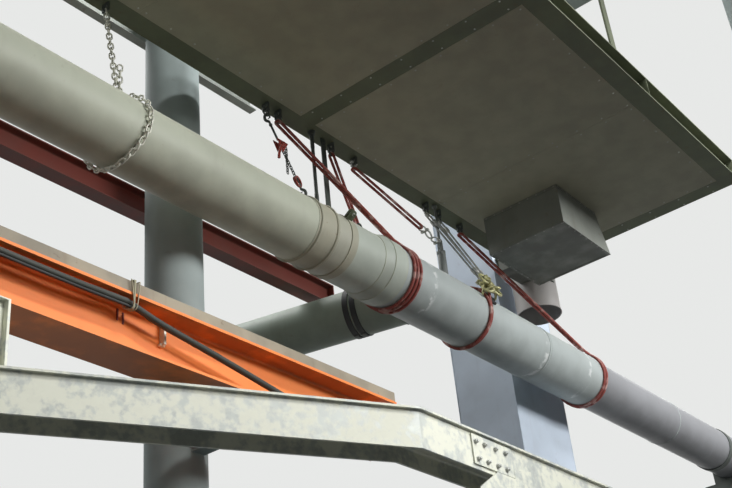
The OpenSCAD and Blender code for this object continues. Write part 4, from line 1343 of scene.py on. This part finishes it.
def make_deck_details(screw, bolt):
    """Screws of the boards, bolts of the joists and the stiffeners in the edge beams."""
    margin = 45
    inset = margin / 1000.0
    places = []
    for i in range(BAYS):
        start = DECK_FROM + i * BAY
        low = margin + (joist_middle(i) + JOIST / 2 if heavy_joist(i) else start)
        high = -margin + (joist_middle(i + 1) - JOIST / 2 if heavy_joist(i + 1) else start + BAY)
        for j in range(8):
            for y in (DECK_LEFT - inset, DECK_RIGHT + inset):
                places.append(((station(low + (high - low) * j / 7), y, DECK_Z), DOWN))
        for j in range(1, 8):
            y = DECK_LEFT - inset - (DECK_WIDTH - 2 * inset) * j / 8
            places += [((station(s), y, DECK_Z), DOWN) for s in (low, high)]
    fasten("board_screws", screw, places)
    middles = [station(joist_middle(i)) for i in range(BAYS + 1)]
    inset = 0.12
    places = []
    for i, middle in enumerate(middles):
        if heavy_joist(i):
            places += [((x, DECK_LEFT - inset - (DECK_WIDTH - 2 * inset) * j / 6, DECK_Z), DOWN)
                       for j in range(7) for x in about(middle, 0.07)]
    fasten("joist_plate_bolts", screw, places)
    plates = []
    ends = []
    for x in middles:
        for y, side in ((EDGE_MIDDLE, 1), (RIGHT_EDGE_MIDDLE, -1)):
            reach = sorted((y + side * 0.006, y + side * 0.097))
            plates.append(block_at(about(x, 0.005), reach, (DECK_Z + 0.0145, DECK_Z + 0.2255), 0.002))
            ends += [((a, y + side * 0.005, DECK_Z + z), (0, side, 0))
                     for a in about(x, 0.06) for z in (0.08, 0.16)]
    settle(plates, "edge_beam_stiffeners", "deck_steel")
    fasten("joist_end_bolts", bolt, ends)


def make_vent_details(screw):
    """Turned flanges, rivets and a rolled bead on the sheet metal."""
    near = station(10460)
    far_top = near + 0.860
    far = far_top + 0.180
    right = -0.200
    left = 0.755
    low = DECK_Z - 0.480
    top = DECK_Z - 0.001
    lap = 0.004
    skin = 0.001
    lip = 0.030
    under = (low - lap, low + skin)
    side_z = (low, top)
    rim_z = (DECK_Z - 0.034, top)
    length = (near - lap, far)
    corner = (near - lap, near + lip)
    rims = ((length, (right - lap, right + lip), under), (length, (left - lip, left + lap), under),
            (corner, (right, left), under), ((far - 0.034, far), (right, left), under),
            (corner, (right - lap, right + skin), side_z), (corner, (left - skin, left + lap), side_z),
            ((near - lap, far_top), (right - lap, right + skin), rim_z),
            ((near - lap, near + skin), (right, left), rim_z))
    settle([block_at(*rim, 0.0015) for rim in rims], "vent_flanges", "vent_metal")
    places = []
    for i in range(9):
        share = i / 8
        x = near + 0.02 + (far - near - 0.05) * share
        y = right + 0.03 + (left - right - 0.06) * share
        places += [((x, right + 0.014, low - lap), DOWN), ((x, left - 0.014, low - lap), DOWN),
                   ((near + 0.013, y, low - lap), DOWN), ((near - lap, y, DECK_Z - 0.018), NEAR),
                   ((near + 0.02 + (far_top - near - 0.05) * share, right - lap, DECK_Z - 0.018), RIGHT)]
    fasten("vent_rivets", screw, places, "spigot_metal")
    bead = ring(Vector((station(11880), 1.020, DECK_Z - 0.634)), X_AXIS * 0.266, Y_AXIS * 0.266, 64)
    settle([tube(bead, 0.006, 8, True)], "spigot_beads", "spigot_metal")


# The red beam, the pier and the trestle
def make_beam_details(bolt):
    """Bolts of the red beam, the pier's seams and feet, and what holds the trestle and its clamp."""
    places = []
    for s in (NEAR_COLUMN, MIDDLE_COLUMN):
        for dx in (0.135, 0.185):
            places += [((station(s) + dx, 2.085, 7.600), UP), ((station(s) + dx, 2.100, 7.526), DOWN)]
    places += [((station(9246), y, z), FAR) for y in (2.080, 2.180) for z in (7.641, 7.771)]
    fasten("red_beam_bolts", bolt, places)
    near = station(11640)
    far = near + 1.160
    right = 1.400
    left = 2.190
    top = COLUMN_TOP - 0.01
    seams = [weld_bead(between(Vector((x, y, 0.01)), Vector((x, y, top)), 0.02), 0.005)
             for x in (near, far) for y in (right, left)]
    settle(seams, "pier_corner_welds", "pier_paint")
    leg = 0.120
    wall = 0.014
    feet = []
    anchors = []
    for i in range(4):
        middle = near + 0.14 + i * 0.293
        x = about(middle, 0.04)
        for flat, upright, y in (((right - leg, right), (right - wall, right), 1.325),
                                 ((left, left + leg), (left, left + wall), 2.265)):
            feet += [block_at(x, flat, (0.0, 0.016)), block_at(x, upright, (0.0, 0.110))]
            anchors.append(((middle, y, 0.016), UP))
    settle(feet, "pier_foot_angles", "pier_paint")
    for y in (PIPE_Y - 1.150, PIPE_Y + 1.150):
        anchors += [((*place, 0.025), UP) for place in corners(station(16800), y, 0.15, 0.15)]
    fasten("pier_and_trestle_anchors", bolt, anchors)
    clamp = [((x, PIPE_Y + side * 0.040, PIPE_Z + END_R + 0.045), (0, side, 0))
             for side in (-1, 1) for x in about(station(16190), 0.03)]
    fasten("end_clamp_bolts", bolt, clamp, "dark_steel")


set_camera()
set_studio()
make_floor()
finish_nodes()

small_bolt = make_bolt(0.016)
bolt = make_bolt(0.020)
large_bolt = make_bolt(0.034)
rod_nut = make_bolt(0.040)
screw = make_screw(0.009)
shackle = make_shackle()
make_slings(shackle)
make_turnbuckle(shackle)
make_hoist(shackle)
make_near_chain()
make_girder_cables()
make_cable_boxes(screw)
make_girder_plates(bolt)
make_near_post()
make_galvanised_details(bolt)
make_column_details(bolt, large_bolt)
make_hanger_details(small_bolt, rod_nut)
make_pipe_welds()
make_deck_details(screw, bolt)
make_vent_details(screw)
make_beam_details(bolt)
drop(small_bolt, bolt, large_bolt, rod_nut, screw, shackle)
